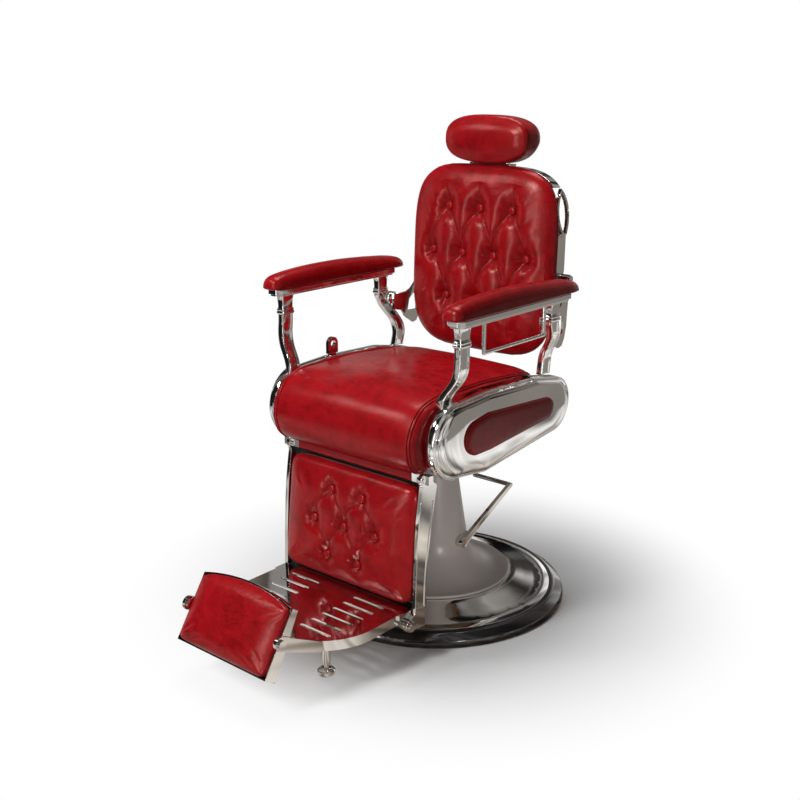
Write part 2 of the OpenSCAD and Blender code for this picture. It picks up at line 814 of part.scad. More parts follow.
// Closed skin over rings of points, anticlockwise as seen from the first ring's outer side
module skin(rings) {
    m = len(rings[0]);
    last = len(rings) - 1;
    n = m * (last + 1);
    middle = [for (r = [rings[0], rings[last]]) let (lows = [for (k = [0:2]) min([for (p = r) p[k]])],
        highs = [for (k = [0:2]) max([for (p = r) p[k]])]) (lows + highs) / 2];
    polyhedron(points = concat([for (r = rings) each r], middle), faces = concat(
        [for (j = [0:last - 1]) for (i = [0:m - 1]) let (a = j * m + i, b = j * m + (i + 1) % m)
            each [[a, b + m, b], [a, a + m, b + m]]],
        [for (i = [0:m - 1]) each [[n, i, (i + 1) % m], [n + 1, last * m + (i + 1) % m, last * m + i]]]),
        convexity = 4);
}

// Bulged shell: from its rim it rounds over and flattens towards the inset pad
bulge_shares = [0, 0.03, 0.1, 0.22, 0.4, 0.65, 1];
function bulge(f) = pow(1 - pow(1 - f, 2.4), 1 / 2.4);

module shell_form(in) {
    rim = hug(shell_circles, -in);
    land = hug(inset_circles, inset_border);
    skin(concat([[for (p = rim) [shell_x - (in > 0 ? over : 0), p[0], p[1]]]],
        [for (f = bulge_shares) [for (k = [0:len(rim) - 1]) let (p = rim[k] + f * (land[k] - rim[k]))
            [shell_x + shell_rim - in + (shell_depth - shell_rim) * bulge(f), p[0], p[1]]]]));
}

module side_shell(s) {
    color(chrome_c) on_side(s) difference() {
        union() {
            difference() {
                shell_form(0);
                shell_form(shell_wall);
            }
            for (y = [-rail_y, rail_y]) translate([shell_x, y - lug_w / 2, rail_z])
                cube([shell_depth - shell_wall / 2, lug_w, lug_h]);
            if (s < 0) translate([shell_x, recline_y - recline_block_w / 2, recline_z - recline_block_w / 2])
                cube([shell_rim - shell_wall / 2, recline_block_w,
                    shell_top - recline_z + recline_block_w / 2 - shell_wall]);
        }
        if (s < 0) {
            translate([recline_x - recline_t / 2 - seat_gap, recline_y - recline_slot_w / 2,
                recline_z - recline_block_w])
                cube([recline_t + 2 * seat_gap, recline_slot_w, shell_top - recline_z + 2 * recline_block_w]);
            x_bar(recline_pin_r + run_fit, shell_x - over, shell_x + shell_rim - shell_wall, recline_y, recline_z);
        }
    }
}

module side_shell_left() { side_shell(1); }

module side_shell_right() { side_shell(-1); }

inset_crown_shares = [[0, 0], [0, 0.55], [0.12, 0.8], [0.35, 0.94], [0.8, 1]];

module inset_pad(s) {
    color(red_c) on_side(s) skin([for (q = inset_crown_shares) [for (p = hug(inset_circles, -q[0] * inset_front_r / 2))
        [shell_x + shell_depth + seat_gap / 2 + q[1] * inset_t, p[0], p[1]]]]);
}

module inset_pad_left() { inset_pad(1); }

module inset_pad_right() { inset_pad(-1); }

// Arm posts: an S-shaped casting with recessed sides, a bead and a neck. Each course
// is height, then distance from the middle and place along the side, as offsets from the neck
front_courses = [[596, -36, -14], [615, -36, -14], [622, -34, -13.5], [630, -30, -12], [638, -25, -10.5], [646, -19, -8.5],
    [654, -13.5, -7], [662, -8.5, -5.5], [670, -4.5, -4], [680, -1.5, -3], [692, 0.5, -2], [706, 1, -1],
    [722, 0.5, 0], [post_neck_z + post_in_bead, 0, 0]];
rear_courses = [[584, -36, 24], [600, -36, 24], [610, -36.8, 26], [620, -37.4, 28], [630, -37.5, 30], [640, -36.8, 31],
    [650, -34.5, 31.5], [660, -31, 31], [670, -25, 29.5], [680, -18.5, 26.5], [690, -12, 22], [700, -6.5, 17],
    [710, -3, 11.5], [722, -1, 5.5], [732, 0, 1.5], [post_neck_z + post_in_bead, 0, 0]];
post_neck_x = arm_x - 4;

function post_ring(c, y) = let (t = post_t / 2, w = post_w / 2, r = post_recess, m = post_rim)
    [for (q = [[-t, -w], [t, -w], [t, m - w], [t - r, m + r / 2 - w], [t - r, w - m - r / 2], [t, w - m], [t, w],
        [-t, w], [-t, w - m], [r - t, w - m - r / 2], [r - t, m + r / 2 - w], [-t, m - w]])
        [post_neck_x + c[1] + q[0], y + c[2] + q[1], c[0]]];

module post(y, courses) {
    t = post_t / 2;
    w = post_w / 2;
    skin([for (c = courses) post_ring(c, y)]);
    translate([post_neck_x - t - bead_out, y - w - bead_out / 2, post_neck_z])
        cube([2 * (t + bead_out), post_w + bead_out, bead_h]);
    translate([post_neck_x - t - neck_out, y - w - neck_out / 2, post_neck_z + bead_h])
        cube([2 * (t + neck_out), post_w + neck_out, arm_z - post_neck_z - bead_h]);
}

module front_band() {
    x0 = shell_x + shell_rim - band_w;
    difference() {
        yz_plate(x0, band_w) shell_outline(band_t);
        yz_plate(x0 - over, band_w + 2 * over) shell_outline(seat_gap / 2);
        translate([x0 - over, front_post_y + post_w / 2, 0]) cube([band_w + 2 * over, base_d, arm_z]);
    }
}

module front_post(s) {
    color(chrome_c) on_side(s) union() {
        difference() {
            post(front_post_y, front_courses);
            yz_plate(0, base_d) shell_outline(seat_gap / 2);
        }
        front_band();
    }
}

module front_post_left() { front_post(1); }

module front_post_right() { front_post(-1); }

module rear_post(s) {
    x = bracket_x + bracket_t;
    color(chrome_c) on_side(s) union() {
        difference() {
            post(rear_post_y, rear_courses);
            yz_plate(0, base_d) shell_outline(seat_gap / 2);
        }
        translate([x + seat_gap / 2, rear_post_y, bracket_high - bracket_lug_h - over])
            cube([post_neck_x - x, post_w + seat_gap, bracket_lug_h]);
    }
}

module rear_post_left() { rear_post(1); }

module rear_post_right() { rear_post(-1); }

// Arms

module arm_bar(s) {
    color(chrome_c) on_side(s) for (k = [0, 1]) {
        w = arm_w / 2 - (1 - k) * arm_step;
        y0 = arm_front + (1 - k) * arm_step;
        y1 = arm_rear - (1 - k) * arm_step;
        c = arm_chamfer;
        translate([arm_x, 0, arm_z + k * arm_step_h]) linear_extrude(k == 0 ? arm_step_h : arm_h - arm_step_h)
            polygon([[-w, y0 + c], [-w + c, y0], [w - c, y0], [w, y0 + c], [w, y1 - c / 2], [w - c / 2, y1],
                [-w + c / 2, y1], [-w, y1 - c / 2]]);
    }
}

module arm_bar_left() { arm_bar(1); }

module arm_bar_right() { arm_bar(-1); }

// Height of the pad's ridge along the arm: place from the front as a share, then height
// and width as shares of the largest
arm_pad_shares = [[0, 0.2, 0.3], [0.004, 0.38, 0.62], [0.012, 0.52, 0.8], [0.025, 0.6, 0.92], [0.045, 0.67, 0.98],
    [0.08, 0.76, 1], [0.13, 0.84, 1], [0.2, 0.92, 1], [0.28, 0.98, 1], [0.36, 1, 1], [0.45, 1, 1], [0.54, 0.98, 1],
    [0.63, 0.92, 1], [0.71, 0.85, 1], [0.78, 0.75, 1], [0.84, 0.65, 1], [0.89, 0.54, 0.99], [0.93, 0.42, 0.94],
    [0.96, 0.3, 0.84], [0.98, 0.2, 0.68], [0.992, 0.12, 0.48], [1, 0.07, 0.3]];
arm_pad_power = 2.6;
arm_pad_tip = 187;

module arm_pad(s) {
    y0 = arm_front - arm_pad_over;
    z0 = arm_z + arm_h + seat_gap;
    len_y = arm_pad_tip - y0;
    color(red_c) on_side(s) skin([for (q = arm_pad_shares)
        [for (t = [180:-15:0]) [arm_x + arm_pad_w / 2 * q[2] * sign(cos(t)) * pow(abs(cos(t)), 2 / arm_pad_power),
            y0 + q[0] * len_y, z0 + (arm_pad_h * q[1]) * pow(sin(t), 2 / arm_pad_power)]]]);
}

module arm_pad_left() { arm_pad(1); }

module arm_pad_right() { arm_pad(-1); }

module towel_bar() {
    r = towel_d / 2;
    z = arm_z - towel_drop;
    color(chrome_c) union() {
        for (y = [towel_front, towel_rear]) {
            translate([arm_x, y, z]) cylinder(r = r, h = towel_drop);
            translate([arm_x, y, z]) sphere(r = r);
        }
        translate([arm_x, towel_front, z]) rotate([-90, 0, 0]) cylinder(r = r, h = towel_rear - towel_front);
    }
}

// Rear brackets: a pierced plate from the rear post up to the pivot of the back

bracket_shares = [[0, 0.52], [0.3, 0.44], [0.39, 0.26], [0.58, 0.09], [0.7, 0], [0.83, 0.04], [0.92, 0.22],
    [0.985, 0.55], [1, 0.95], [1.03, 1.3], [1.09, 1.68], [0.93, 1.82], [0.86, 1.5], [0.77, 1.19], [0.62, 1.03],
    [0.46, 0.97], [0.2, 0.96], [0, 0.98]];
pierce_shares = [[0.5, 0.4], [0.84, 0.38], [0.86, 0.84], [0.7, 0.88], [0.56, 0.74]];

module back_bracket(s) {
    ly = bracket_rear - bracket_front;
    lz = bracket_high - bracket_low;
    x1 = bracket_x + bracket_t;
    color(chrome_c) on_side(s) union() {
        difference() {
            yz_plate(bracket_x, bracket_t)
                polygon([for (q = bracket_shares) [bracket_front + q[0] * ly, bracket_low + q[1] * lz]]);
            yz_plate(bracket_x - over, bracket_t + 2 * over)
                polygon([for (q = pierce_shares) [bracket_front + q[0] * ly, bracket_low + q[1] * lz]]);
        }
        x_bar(bracket_eye_r, bracket_x, x1, pivot_y, pivot_z);
        x_bar(bracket_eye_r - over, x1, x1 + knob_h, pivot_y, pivot_z);
        x_bar(back_pin_d / 2, side_arm_x + seat_gap, bracket_x, pivot_y, pivot_z);
    }
}

module back_bracket_left() { back_bracket(1); }

module back_bracket_right() { back_bracket(-1); }

// Hinge brackets of the leg rest

module knee_bracket(s) {
    h = nose_z - seat_gap - knee_block_z;
    x1 = leg_bar_x + leg_bar_t + seat_gap;
    color(chrome_c) on_side(s) union() {
        translate([knee_block_x, knee_block_y, knee_block_z])
            cube([leg_bar_x - seat_gap - knee_block_x, knee_block_w, h]);
        translate([x1, knee_block_y, knee_block_z]) cube([shell_x - seat_gap - x1, knee_block_w, h]);
        x_bar(knee_pin_d / 2, leg_bar_x - 4 * over, x1 + over, knee_y, knee_z);
    }
}

module knee_bracket_left() { knee_bracket(1); }

module knee_bracket_right() { knee_bracket(-1); }

// Back, drawn upright and then leant about its pivot

module leant() {
    translate([0, pivot_y, pivot_z]) rotate([-back_lean, 0, 0]) translate([0, -pivot_y, -pivot_z]) children();
}

back_dots = [[-back_tuft, back_tuft_row], [0, back_tuft_row], [back_tuft, back_tuft_row],
    [-1.5 * back_tuft, 0], [-0.5 * back_tuft, 0], [0.5 * back_tuft, 0], [1.5 * back_tuft, 0],
    [-back_tuft, -back_tuft_row], [0, -back_tuft_row], [back_tuft, -back_tuft_row]];
back_dot_z = 13;

// Pleats: slanted ones between the rows, upright ones from the outer rows to the edge
function slants(top, low, reach) = [for (a = top) for (b = low) if (abs(a[0] - b[0]) < reach) [a, b]];
function uprights(dots, dz) = [for (d = dots) [d, d + [0, dz]]];
back_rows = [[for (k = [0:2]) back_dots[k]], [for (k = [3:6]) back_dots[k]], [for (k = [7:9]) back_dots[k]]];
back_seams = concat(slants(back_rows[0], back_rows[1], back_tuft), slants(back_rows[1], back_rows[2], back_tuft),
    uprights(back_rows[0], 0.75 * back_tuft_row), uprights(back_rows[2], -0.75 * back_tuft_row));
back_dot_deep = 26;
back_seam_deep = 9;
tuft_r = 24;
back_soft = 3.4;
leg_soft = 5;
leg_power = 14;
// Depth of each button as a share of its hollow
back_seat_shares = [0.83, 0.855, 0.91, 0.81, 0.77, 0.78, 0.8, 0.86, 0.84, 0.84];
leg_seat_shares = [0.85, 0.86, 0.86, 0.99, 0.86, 0.86, 0.85];
seam_w = 11;

module back_cushion() {
    color(red_c) leant() translate([0, back_plane, back_mid_z])
        pad(back_w / 2, back_h / 2, outline_power, back_edge, back_crown, 30, 32,
            dots = [for (d = back_dots) d + [0, back_dot_z]], dot_deep = back_dot_deep, dot_r = tuft_r,
            seams = [for (s = back_seams) [s[0] + [0, back_dot_z], s[1] + [0, back_dot_z]]],
            seam_deep = back_seam_deep, seam_w = seam_w, soft = back_soft);
}

// Place of a button's base in front of the pad's back plane
function button_base(p, hw, hh, power, edge, crown, soft, sunk) = -edge - seat_gap
    - rise(norm_of(p[0] / hw, p[1] / hh, power), soft) * (crown - sunk);

// A covered button: a low dome
module button() {
    rotate([90, 0, 0]) rotate_extrude($fn = 24) polygon(concat([[0, 0]],
        [for (t = [0:15:90]) [button_d / 2 * cos(t), button_d / 4 + button_d / 4 * sin(t)]]));
}

module back_buttons() {
    color(red_c) leant() for (k = [0:len(back_dots) - 1]) let (d = back_dots[k] + [0, back_dot_z])
        translate([d[0], back_plane + button_base(d, back_w / 2, back_h / 2, outline_power, back_edge, back_crown,
            back_soft, back_seat_shares[k] * back_dot_deep), back_mid_z + d[1]]) button();
}

module back_board() {
    a = back_w / 2 - board_in;
    b = back_h / 2 - 8;
    color(wood_c) leant() difference() {
        translate([0, back_plane + seat_gap + back_board_t, back_mid_z]) rotate([90, 0, 0])
            linear_extrude(back_board_t) polygon(outline(a, b, outline_power));
        for (s = [-1, 1]) translate([s * head_post_gap / 2, head_post_y, back_mid_z + b - post_bore_depth])
            cylinder(d = head_post_d + 2 * seat_gap, h = post_bore_depth + over);
    }
}

module rear_panel() {
    color(red_c) leant() translate([0, back_plane + 2 * seat_gap + back_board_t, back_mid_z]) rotate([0, 0, 180])
        pad(back_w / 2 - board_in - 2, back_h / 2 - 10, outline_power, rear_panel_t / 2, rear_panel_t / 2, 12, 12);
}

module back_hoop() {
    a = back_w / 2 + 1;
    b = back_h / 2 - 3;
    color(chrome_c) leant() intersection() {
        translate([0, board_y + hoop_w / 2, back_mid_z]) rotate([90, 0, 0]) linear_extrude(hoop_w)
            difference() {
                polygon(outline(a, b, outline_power));
                polygon(outline(back_w / 2 - 9 + seat_gap, back_h / 2 - 8 + seat_gap, outline_power));
            }
        difference() {
            translate([-a, board_y - hoop_w, hoop_low]) cube([2 * a, 2 * hoop_w, back_h]);
            for (s = [-1, 1]) translate([s * head_post_gap / 2, head_post_y, hoop_low])
                cylinder(d = head_post_d + 2 * seat_gap, h = back_h);
        }
    }
}

// Side arm: hub on the pivot, flat strip, and the open ear above it
module almond(h, w) {
    r = (h * h + w * w) / (4 * w);
    intersection() {
        translate([r - w / 2, 0]) circle(r = r, $fn = 96);
        translate([w / 2 - r, 0]) circle(r = r, $fn = 96);
    }
}

module back_arm(s) {
    y0 = side_arm_y - side_arm_w / 2;
    y1 = side_arm_y + side_arm_w / 2;
    top = ear_z - ear_h / 2 + ear_wall;
    low = pivot_z + 2 * bracket_eye_r;
    color(chrome_c) leant() on_side(s) difference() {
        union() {
            yz_plate(side_arm_x, side_arm_t) polygon([[pivot_y - bracket_eye_r, pivot_z], [y0 + over, low],
                [y0, top - over], [y0 + side_arm_w / 4, top + ear_wall], [y0 + side_arm_w * 0.8, top + ear_wall],
                [y1, top - over], [y1 + over, low], [pivot_y + bracket_eye_r, pivot_z],
                [pivot_y, pivot_z - bracket_eye_r]]);
            x_bar(bracket_eye_r, side_arm_x, hub_outer, pivot_y, pivot_z);
            translate([0, ear_y, ear_z]) rotate([ear_lean, 0, 0]) yz_plate(side_arm_x, side_arm_t) difference() {
                almond(ear_h, ear_w);
                almond(ear_h - 3 * ear_wall, ear_w - 2 * ear_wall);
            }
        }
        x_bar(back_pin_d / 2 + run_fit, side_arm_x - over, hub_outer + over, pivot_y, pivot_z);
    }
}

module back_arm_left() { back_arm(1); }

module back_arm_right() { back_arm(-1); }

module headrest_guide() {
    z = back_mid_z + back_h / 2 - 3;
    color(chrome_c) leant() difference() {
        translate([-guide_w / 2, board_y - hoop_w / 2, z]) cube([guide_w, hoop_w, guide_t]);
        for (s = [-1, 1]) translate([s * head_post_gap / 2, head_post_y, z - over])
            cylinder(d = head_post_d + 2 * run_fit, h = guide_t + 2 * over);
    }
}

// Headrest

head_low = back_mid_z + back_h / 2 + head_gap;
head_rod_z = head_low + head_rod_up;

module headrest_posts() {
    color(chrome_c) leant() union() {
        for (s = [-1, 1]) translate([s * head_post_gap / 2, head_post_y, head_low - post_below])
            cylinder(d = head_post_d, h = post_below + head_rod_up);
        x_bar(head_rod_r, -hinge_w / 2, hinge_w / 2, head_post_y, head_rod_z);
    }
}

module headrest_hinge() {
    y0 = head_back - head_pocket_d + seat_gap;
    z0 = head_rod_z - head_lug_r;
    color(chrome_c) leant() difference() {
        union() {
            translate([-hinge_w / 2, y0, z0]) cube([hinge_w, hinge_plate_t, 2 * head_lug_r]);
            for (s = [-1, 1]) {
                translate([s * head_lug_x - lug_t / 2, y0, z0]) cube([lug_t, head_post_y - y0, 2 * head_lug_r]);
                x_bar(head_lug_r, s * head_lug_x - lug_t / 2, s * head_lug_x + lug_t / 2, head_post_y, head_rod_z);
            }
        }
        x_bar(head_rod_r + run_fit, -hinge_w, hinge_w, head_post_y, head_rod_z);
    }
}

module headrest_pad() {
    h = head_d / 2;
    color(red_c) leant() difference() {
        translate([0, head_back - h + over, head_low + head_h / 2])
            pad(head_w / 2, head_h / 2, head_power, over, h - over / 2, 16, 12, rear_crown = h - over,
                soft = head_soft);
        translate([-head_pocket_w / 2, head_back - head_pocket_d, head_low - over])
            cube([head_pocket_w, head_pocket_d * 2, head_pocket_up + over]);
    }
}

// Leg rest, drawn hanging straight down and then leant about its hinge

module hanging() {
    translate([0, knee_y, knee_z]) rotate([-leg_lean, 0, 0]) children();
}

// Edges of the side bar: depth below the hinge as a share of its length, then place
// of the front and rear edge as shares of the waist
bar_edge_shares = [[0.05, -0.15, 1.15], [0.15, -0.2, 1.06], [0.27, -0.24, 1], [0.4, -0.21, 0.92], [0.52, -0.15, 0.87],
    [0.64, -0.1, 0.86], [0.75, -0.02, 0.9], [0.86, 0.05, 0.98], [1, 0.08, 1.08]];
function bar_side(k, in, first, last) = [for (i = [first:last])
    [bar_edge_shares[i][k] * leg_bar_w + in, -bar_edge_shares[i][0] * leg_len]];
function back_to_front(p) = [for (i = [len(p) - 1:-1:0]) p[i]];

module leg_bar(s) {
    x0 = leg_bar_x;
    t = leg_bar_t;
    last = len(bar_edge_shares) - 1;
    front = bar_side(1, 0, 0, last);
    rear = bar_side(2, 0, 0, last);
    lug = [(lug_screw_y - knee_y) * cos(leg_lean) + (knee_z - lug_screw_z) * sin(leg_lean),
        (lug_screw_z - knee_z) * cos(leg_lean) + (lug_screw_y - knee_y) * sin(leg_lean)];
    color(chrome_c) on_side(s) hanging() difference() {
        union() {
            yz_plate(x0, t) polygon(concat([[-leg_cap_r, 0]], front, back_to_front(rear), [[leg_cap_r * 2, -leg_cap_r / 2],
                [leg_cap_r, 0]]));
            x_bar(leg_cap_r, x0, x0 + t, 0, 0);
            x_bar(lug_r + over, x0, x0 + t, lug[0], lug[1]);
            yz_plate(x0, t) polygon([[lug[0], lug[1] + lug_r + over], [front[last][0] + over, lug[1] + 2 * lug_r],
                [front[last][0] + over, -leg_len], [lug[0], lug[1] - lug_r - over]]);
        }
        yz_plate(x0 + t - leg_recess, t) polygon(concat(bar_side(1, leg_rim, 1, last - 1),
            back_to_front(bar_side(2, -leg_rim, 1, last - 1))));
        x_bar(knee_pin_d / 2 + run_fit, x0 - over, x0 + t + over, 0, 0);
        x_bar(screw_r + seat_gap / 2, x0 - over, x0 + t + over, lug[0], lug[1]);
    }
}

module leg_bar_left() { leg_bar(1); }

module leg_bar_right() { leg_bar(-1); }

module leg_board() {
    color(dark_c) hanging() translate([-leg_bar_x + seat_gap, leg_board_y, -leg_pad_low])
        cube([2 * (leg_bar_x - seat_gap), leg_board_t, leg_pad_low - leg_pad_top]);
}

leg_dots = [[-leg_tuft / 2, leg_tuft_row], [leg_tuft / 2, leg_tuft_row], [-leg_tuft, 0], [0, 0], [leg_tuft, 0],
    [-leg_tuft / 2, -leg_tuft_row], [leg_tuft / 2, -leg_tuft_row]];
leg_rows = [[for (k = [0:1]) leg_dots[k]], [for (k = [2:4]) leg_dots[k]], [for (k = [5:6]) leg_dots[k]]];
leg_seams = concat(slants(leg_rows[0], leg_rows[1], leg_tuft), slants(leg_rows[1], leg_rows[2], leg_tuft),
    uprights(leg_rows[0], 0.55 * leg_tuft_row), uprights(leg_rows[2], -0.7 * leg_tuft_row));
leg_pad_mid = -(leg_pad_top + leg_pad_low) / 2;
leg_dot_deep = 14;
leg_seam_deep = 5;

module leg_pad() {
    color(red_c) hanging() translate([0, leg_board_y - seat_gap, leg_pad_mid])
        pad(leg_pad_w / 2, (leg_pad_low - leg_pad_top) / 2, leg_power, leg_pad_edge, leg_pad_crown, 22, 18,
            dots = leg_dots, dot_deep = leg_dot_deep, dot_r = tuft_r,
            seams = leg_seams, seam_deep = leg_seam_deep, seam_w = seam_w, soft = leg_soft);
}

module leg_buttons() {
    color(red_c) hanging() for (k = [0:len(leg_dots) - 1]) let (d = leg_dots[k])
        translate([d[0], leg_board_y - seat_gap + button_base(d, leg_pad_w / 2, (leg_pad_low - leg_pad_top) / 2,
            leg_power, leg_pad_edge, leg_pad_crown, leg_soft, leg_seat_shares[k] * leg_dot_deep),
            leg_pad_mid + d[1]]) button();
}

// Footplate with its skirt, the lugs for the pivot screws and the arms of the kick pad

module foot_outline(in) {
    w = foot_w / 2 - in;
    hull() {
        translate([-w, foot_rear]) square([2 * w, foot_r / 2]);
        for (s = [-1, 1]) translate([s * (foot_w / 2 - foot_r), foot_front + foot_r]) circle(r = foot_r - in);
    }
}

module kick_arm() {
    yz_plate(kick_arm_x, arm_bar_t) hull() {
        translate([kick_y, kick_z]) circle(r = kick_eye_r);
        translate([kick_arm_root_y, plate_z - skirt_h / 2]) circle(r = skirt_h / 2);
    }
}

module footplate() {
    color(chrome_c) difference() {
        union() {
            translate([0, 0, plate_z - plate_t]) linear_extrude(plate_t) foot_outline(0);
            translate([0, 0, plate_z - skirt_h]) linear_extrude(skirt_h - plate_t / 2) difference() {
                foot_outline(0);
                foot_outline(plate_t);
                translate([-foot_w, foot_rear - foot_r]) square([2 * foot_w, 0.01]);
            }
            for (s = [-1, 1]) on_side(s) {
                yz_plate(foot_w / 2 - plate_t, leg_bar_x - seat_gap - foot_w / 2 + plate_t) hull() {
                    translate([lug_screw_y, lug_screw_z]) circle(r = lug_r);
                    translate([lug_screw_y - 2 * lug_r, plate_z - skirt_h / 2]) square([3 * lug_r, skirt_h / 2]);
                }
                kick_arm();
            }
        }
        for (s = [-1, 1]) for (k = [0:slot_count - 1])
            translate([s * (slot_x + slot_len / 2), slot_rear - k * slot_pitch, plate_z - 2 * plate_t]) union() {
                translate([-slot_len / 2 + slot_w / 2, -slot_w / 2, 0])
                    cube([slot_len - slot_w, slot_w, 3 * plate_t]);
                for (e = [-1, 1]) translate([e * (slot_len - slot_w) / 2, 0, 0]) cylinder(d = slot_w, h = 3 * plate_t);
            }
        for (s = [-1, 1]) on_side(s) {
            x_bar(screw_r + seat_gap / 2, foot_w / 2 - 3 * plate_t, leg_bar_x + over, lug_screw_y, lug_screw_z);
            x_bar(kick_pin_d / 2 + run_fit, kick_arm_x - over, kick_arm_x + arm_bar_t + over, kick_y, kick_z);
        }
    }
}

module footplate_screws() {
    x1 = leg_bar_x + leg_bar_t;
    color(chrome_c) for (s = [-1, 1]) on_side(s) union() {
        x_bar(screw_r, foot_w / 2 - 2 * plate_t, x1, lug_screw_y, lug_screw_z);
        x_bar(screw_head_r, x1, x1 + screw_head_h, lug_screw_y, lug_screw_z);
        x_bar(screw_head_r - over, x1, x1 + screw_head_h + over, lug_screw_y, lug_screw_z);
    }
}

module support_legs() {
    top = plate_z - plate_t;
    color(chrome_c) for (s = [-1, 1]) difference() {
        union() {
            translate([s * stem_x, stem_y, stem_z]) cylinder(d = stem_d, h = top - stem_z);
            translate([s * stem_x, stem_y, top - plate_t]) cylinder(d = stem_d * 1.5, h = plate_t);
        }
        translate([s * stem_x, stem_y, stem_z - over]) cylinder(r = foot_screw_r + run_fit,
            h = foot_screw_len + foot_h + over);
    }
}

module levelling_foot(s) {
    r = foot_d / 2;
    e = foot_h / 5;
    color(chrome_c) translate([s * stem_x, stem_y, foot_clear]) union() {
        rotate_extrude() polygon([[0, 0], [r - e, 0], [r, e], [r, 3 * e], [r - e, 4 * e], [r / 2, 5 * e], [0, 5 * e]]);
        cylinder(r = foot_screw_r, h = foot_h + foot_screw_len);
    }
}

module levelling_foot_left() { levelling_foot(1); }

module levelling_foot_right() { levelling_foot(-1); }

// Kick pad, drawn upright about its pivot and then tilted

module tilted() {
    translate([0, kick_y, kick_z]) rotate([-kick_tilt, 0, 0]) children();
}

function arched(hw, low, high, rise) = concat([[-hw, low], [hw, low]],
    [for (k = [10:-1:-10]) [hw * k / 10, high + rise * (1 - k * k / 100)]]);

module kick_form(in) {
    w = kick_w / 2 - in;
    low = kick_low + in;
    high = kick_low + kick_h - in;
    far = kick_front + kick_d - in;
    near = kick_front + kick_top_d - in;
    intersection() {
        translate([0, far + over, 0]) rotate([90, 0, 0]) linear_extrude(kick_d + (in > 0 ? 4 : 1) * over)
            polygon(arched(w, low, high, kick_arch));
        yz_plate(-kick_w, 2 * kick_w) polygon([[kick_front - (in > 0 ? over : 0), low - over],
            [far - kick_wall, low - over], [far, low + 2 * kick_wall], [near, high + kick_arch + over],
            [kick_front - (in > 0 ? over : 0), high + kick_arch + over]]);
    }
}

module kick_tray() {
    x1 = kick_arm_x + arm_bar_t + seat_gap;
    color(chrome_c) tilted() union() {
        difference() {
            kick_form(0);
            kick_form(kick_wall);
        }
        for (s = [-1, 1]) on_side(s) {
            x_bar(kick_pin_d / 2, kick_w / 2 - kick_wall, x1, 0, 0);
            x_bar(kick_pin_d, kick_w / 2 - kick_wall, kick_w / 2 + over / 2, 0, 0);
            x_bar(kick_knob_r, x1, x1 + kick_knob_h, 0, 0);
        }
    }
}

module kick_pad() {
    w = kick_w / 2 - kick_wall - seat_gap;
    low = kick_low + kick_wall + seat_gap;
    high = kick_low + kick_h - kick_wall - seat_gap;
    color(red_c) tilted() translate([0, kick_pad_back, (low + high) / 2])
        pad(w, (high - low) / 2, 14, kick_pad_edge, kick_pad_crown, 16, 12, arch = kick_arch, soft = 4);
}

// Recline lever in the right shell

module recline_lever() {
    t = recline_t;
    g = recline_grip_w / 2;
    grip_z = recline_top - g;
    color(chrome_c) on_side(-1) difference() {
        union() {
            translate([recline_x - t / 2, recline_y - t, recline_z - t]) cube([t, 2 * t, grip_z - recline_z + t]);
            x_bar(g, recline_x - t / 2, recline_x + t / 2, recline_y, grip_z);
            translate([recline_x - t / 2, recline_y - g, shell_top + t / 2]) cube([t, 2 * g, grip_z - shell_top - t / 2]);
            x_bar(recline_pin_r, shell_x, recline_x + t / 2 + t / 3, recline_y, recline_z);
        }
        x_bar(g / 2, recline_x - t, recline_x + t, recline_y, grip_z);
    }
}

base_ring();
base_disc();
base_plate();
column_cover();
pump_cylinder();
cylinder_bolts();
guide_bush();
pump_block();
lever_shaft();
pump_lever();
plunger();
ram();
thrust_washer();
seat_hub();
front_rail();
rear_rail();
seat_board();
seat_cushion();
apron();
side_shell_left();
side_shell_right();
inset_pad_left();
inset_pad_right();
front_post_left();
front_post_right();
rear_post_left();
rear_post_right();
arm_bar_left();
arm_bar_right();
arm_pad_left();
arm_pad_right();
towel_bar();
back_bracket_left();
back_bracket_right();
knee_bracket_left();
knee_bracket_right();
back_cushion();
back_buttons();
back_board();
rear_panel();
back_hoop();
back_arm_left();
back_arm_right();
headrest_guide();
headrest_posts();
headrest_hinge();
headrest_pad();
leg_bar_left();
leg_bar_right();
leg_board();
leg_pad();
leg_buttons();
footplate();
footplate_screws();
support_legs();
levelling_foot_left();
levelling_foot_right();
kick_tray();
kick_pad();
recline_lever();
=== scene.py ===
"""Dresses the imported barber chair: upholstery, chrome castings, materials, light and camera."""

import json
import math

import bmesh
import bpy
import numpy as np
from mathutils import Matrix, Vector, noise


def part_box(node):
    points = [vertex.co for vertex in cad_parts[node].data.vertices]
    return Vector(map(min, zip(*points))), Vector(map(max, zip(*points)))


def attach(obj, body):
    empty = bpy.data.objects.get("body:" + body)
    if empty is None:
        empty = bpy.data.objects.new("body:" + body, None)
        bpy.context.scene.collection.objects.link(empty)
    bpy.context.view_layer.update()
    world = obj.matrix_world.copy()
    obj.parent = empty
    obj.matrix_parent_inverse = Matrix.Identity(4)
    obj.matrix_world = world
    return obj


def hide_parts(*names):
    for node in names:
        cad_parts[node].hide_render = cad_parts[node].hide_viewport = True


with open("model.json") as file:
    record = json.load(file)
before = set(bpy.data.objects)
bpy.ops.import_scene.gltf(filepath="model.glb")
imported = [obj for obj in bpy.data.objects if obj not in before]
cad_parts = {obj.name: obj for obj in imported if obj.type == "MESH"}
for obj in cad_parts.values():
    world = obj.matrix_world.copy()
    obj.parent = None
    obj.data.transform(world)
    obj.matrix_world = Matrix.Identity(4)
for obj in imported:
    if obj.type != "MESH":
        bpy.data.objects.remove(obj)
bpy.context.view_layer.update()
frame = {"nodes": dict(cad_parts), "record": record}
NODES = frame["nodes"]
MM = 0.001

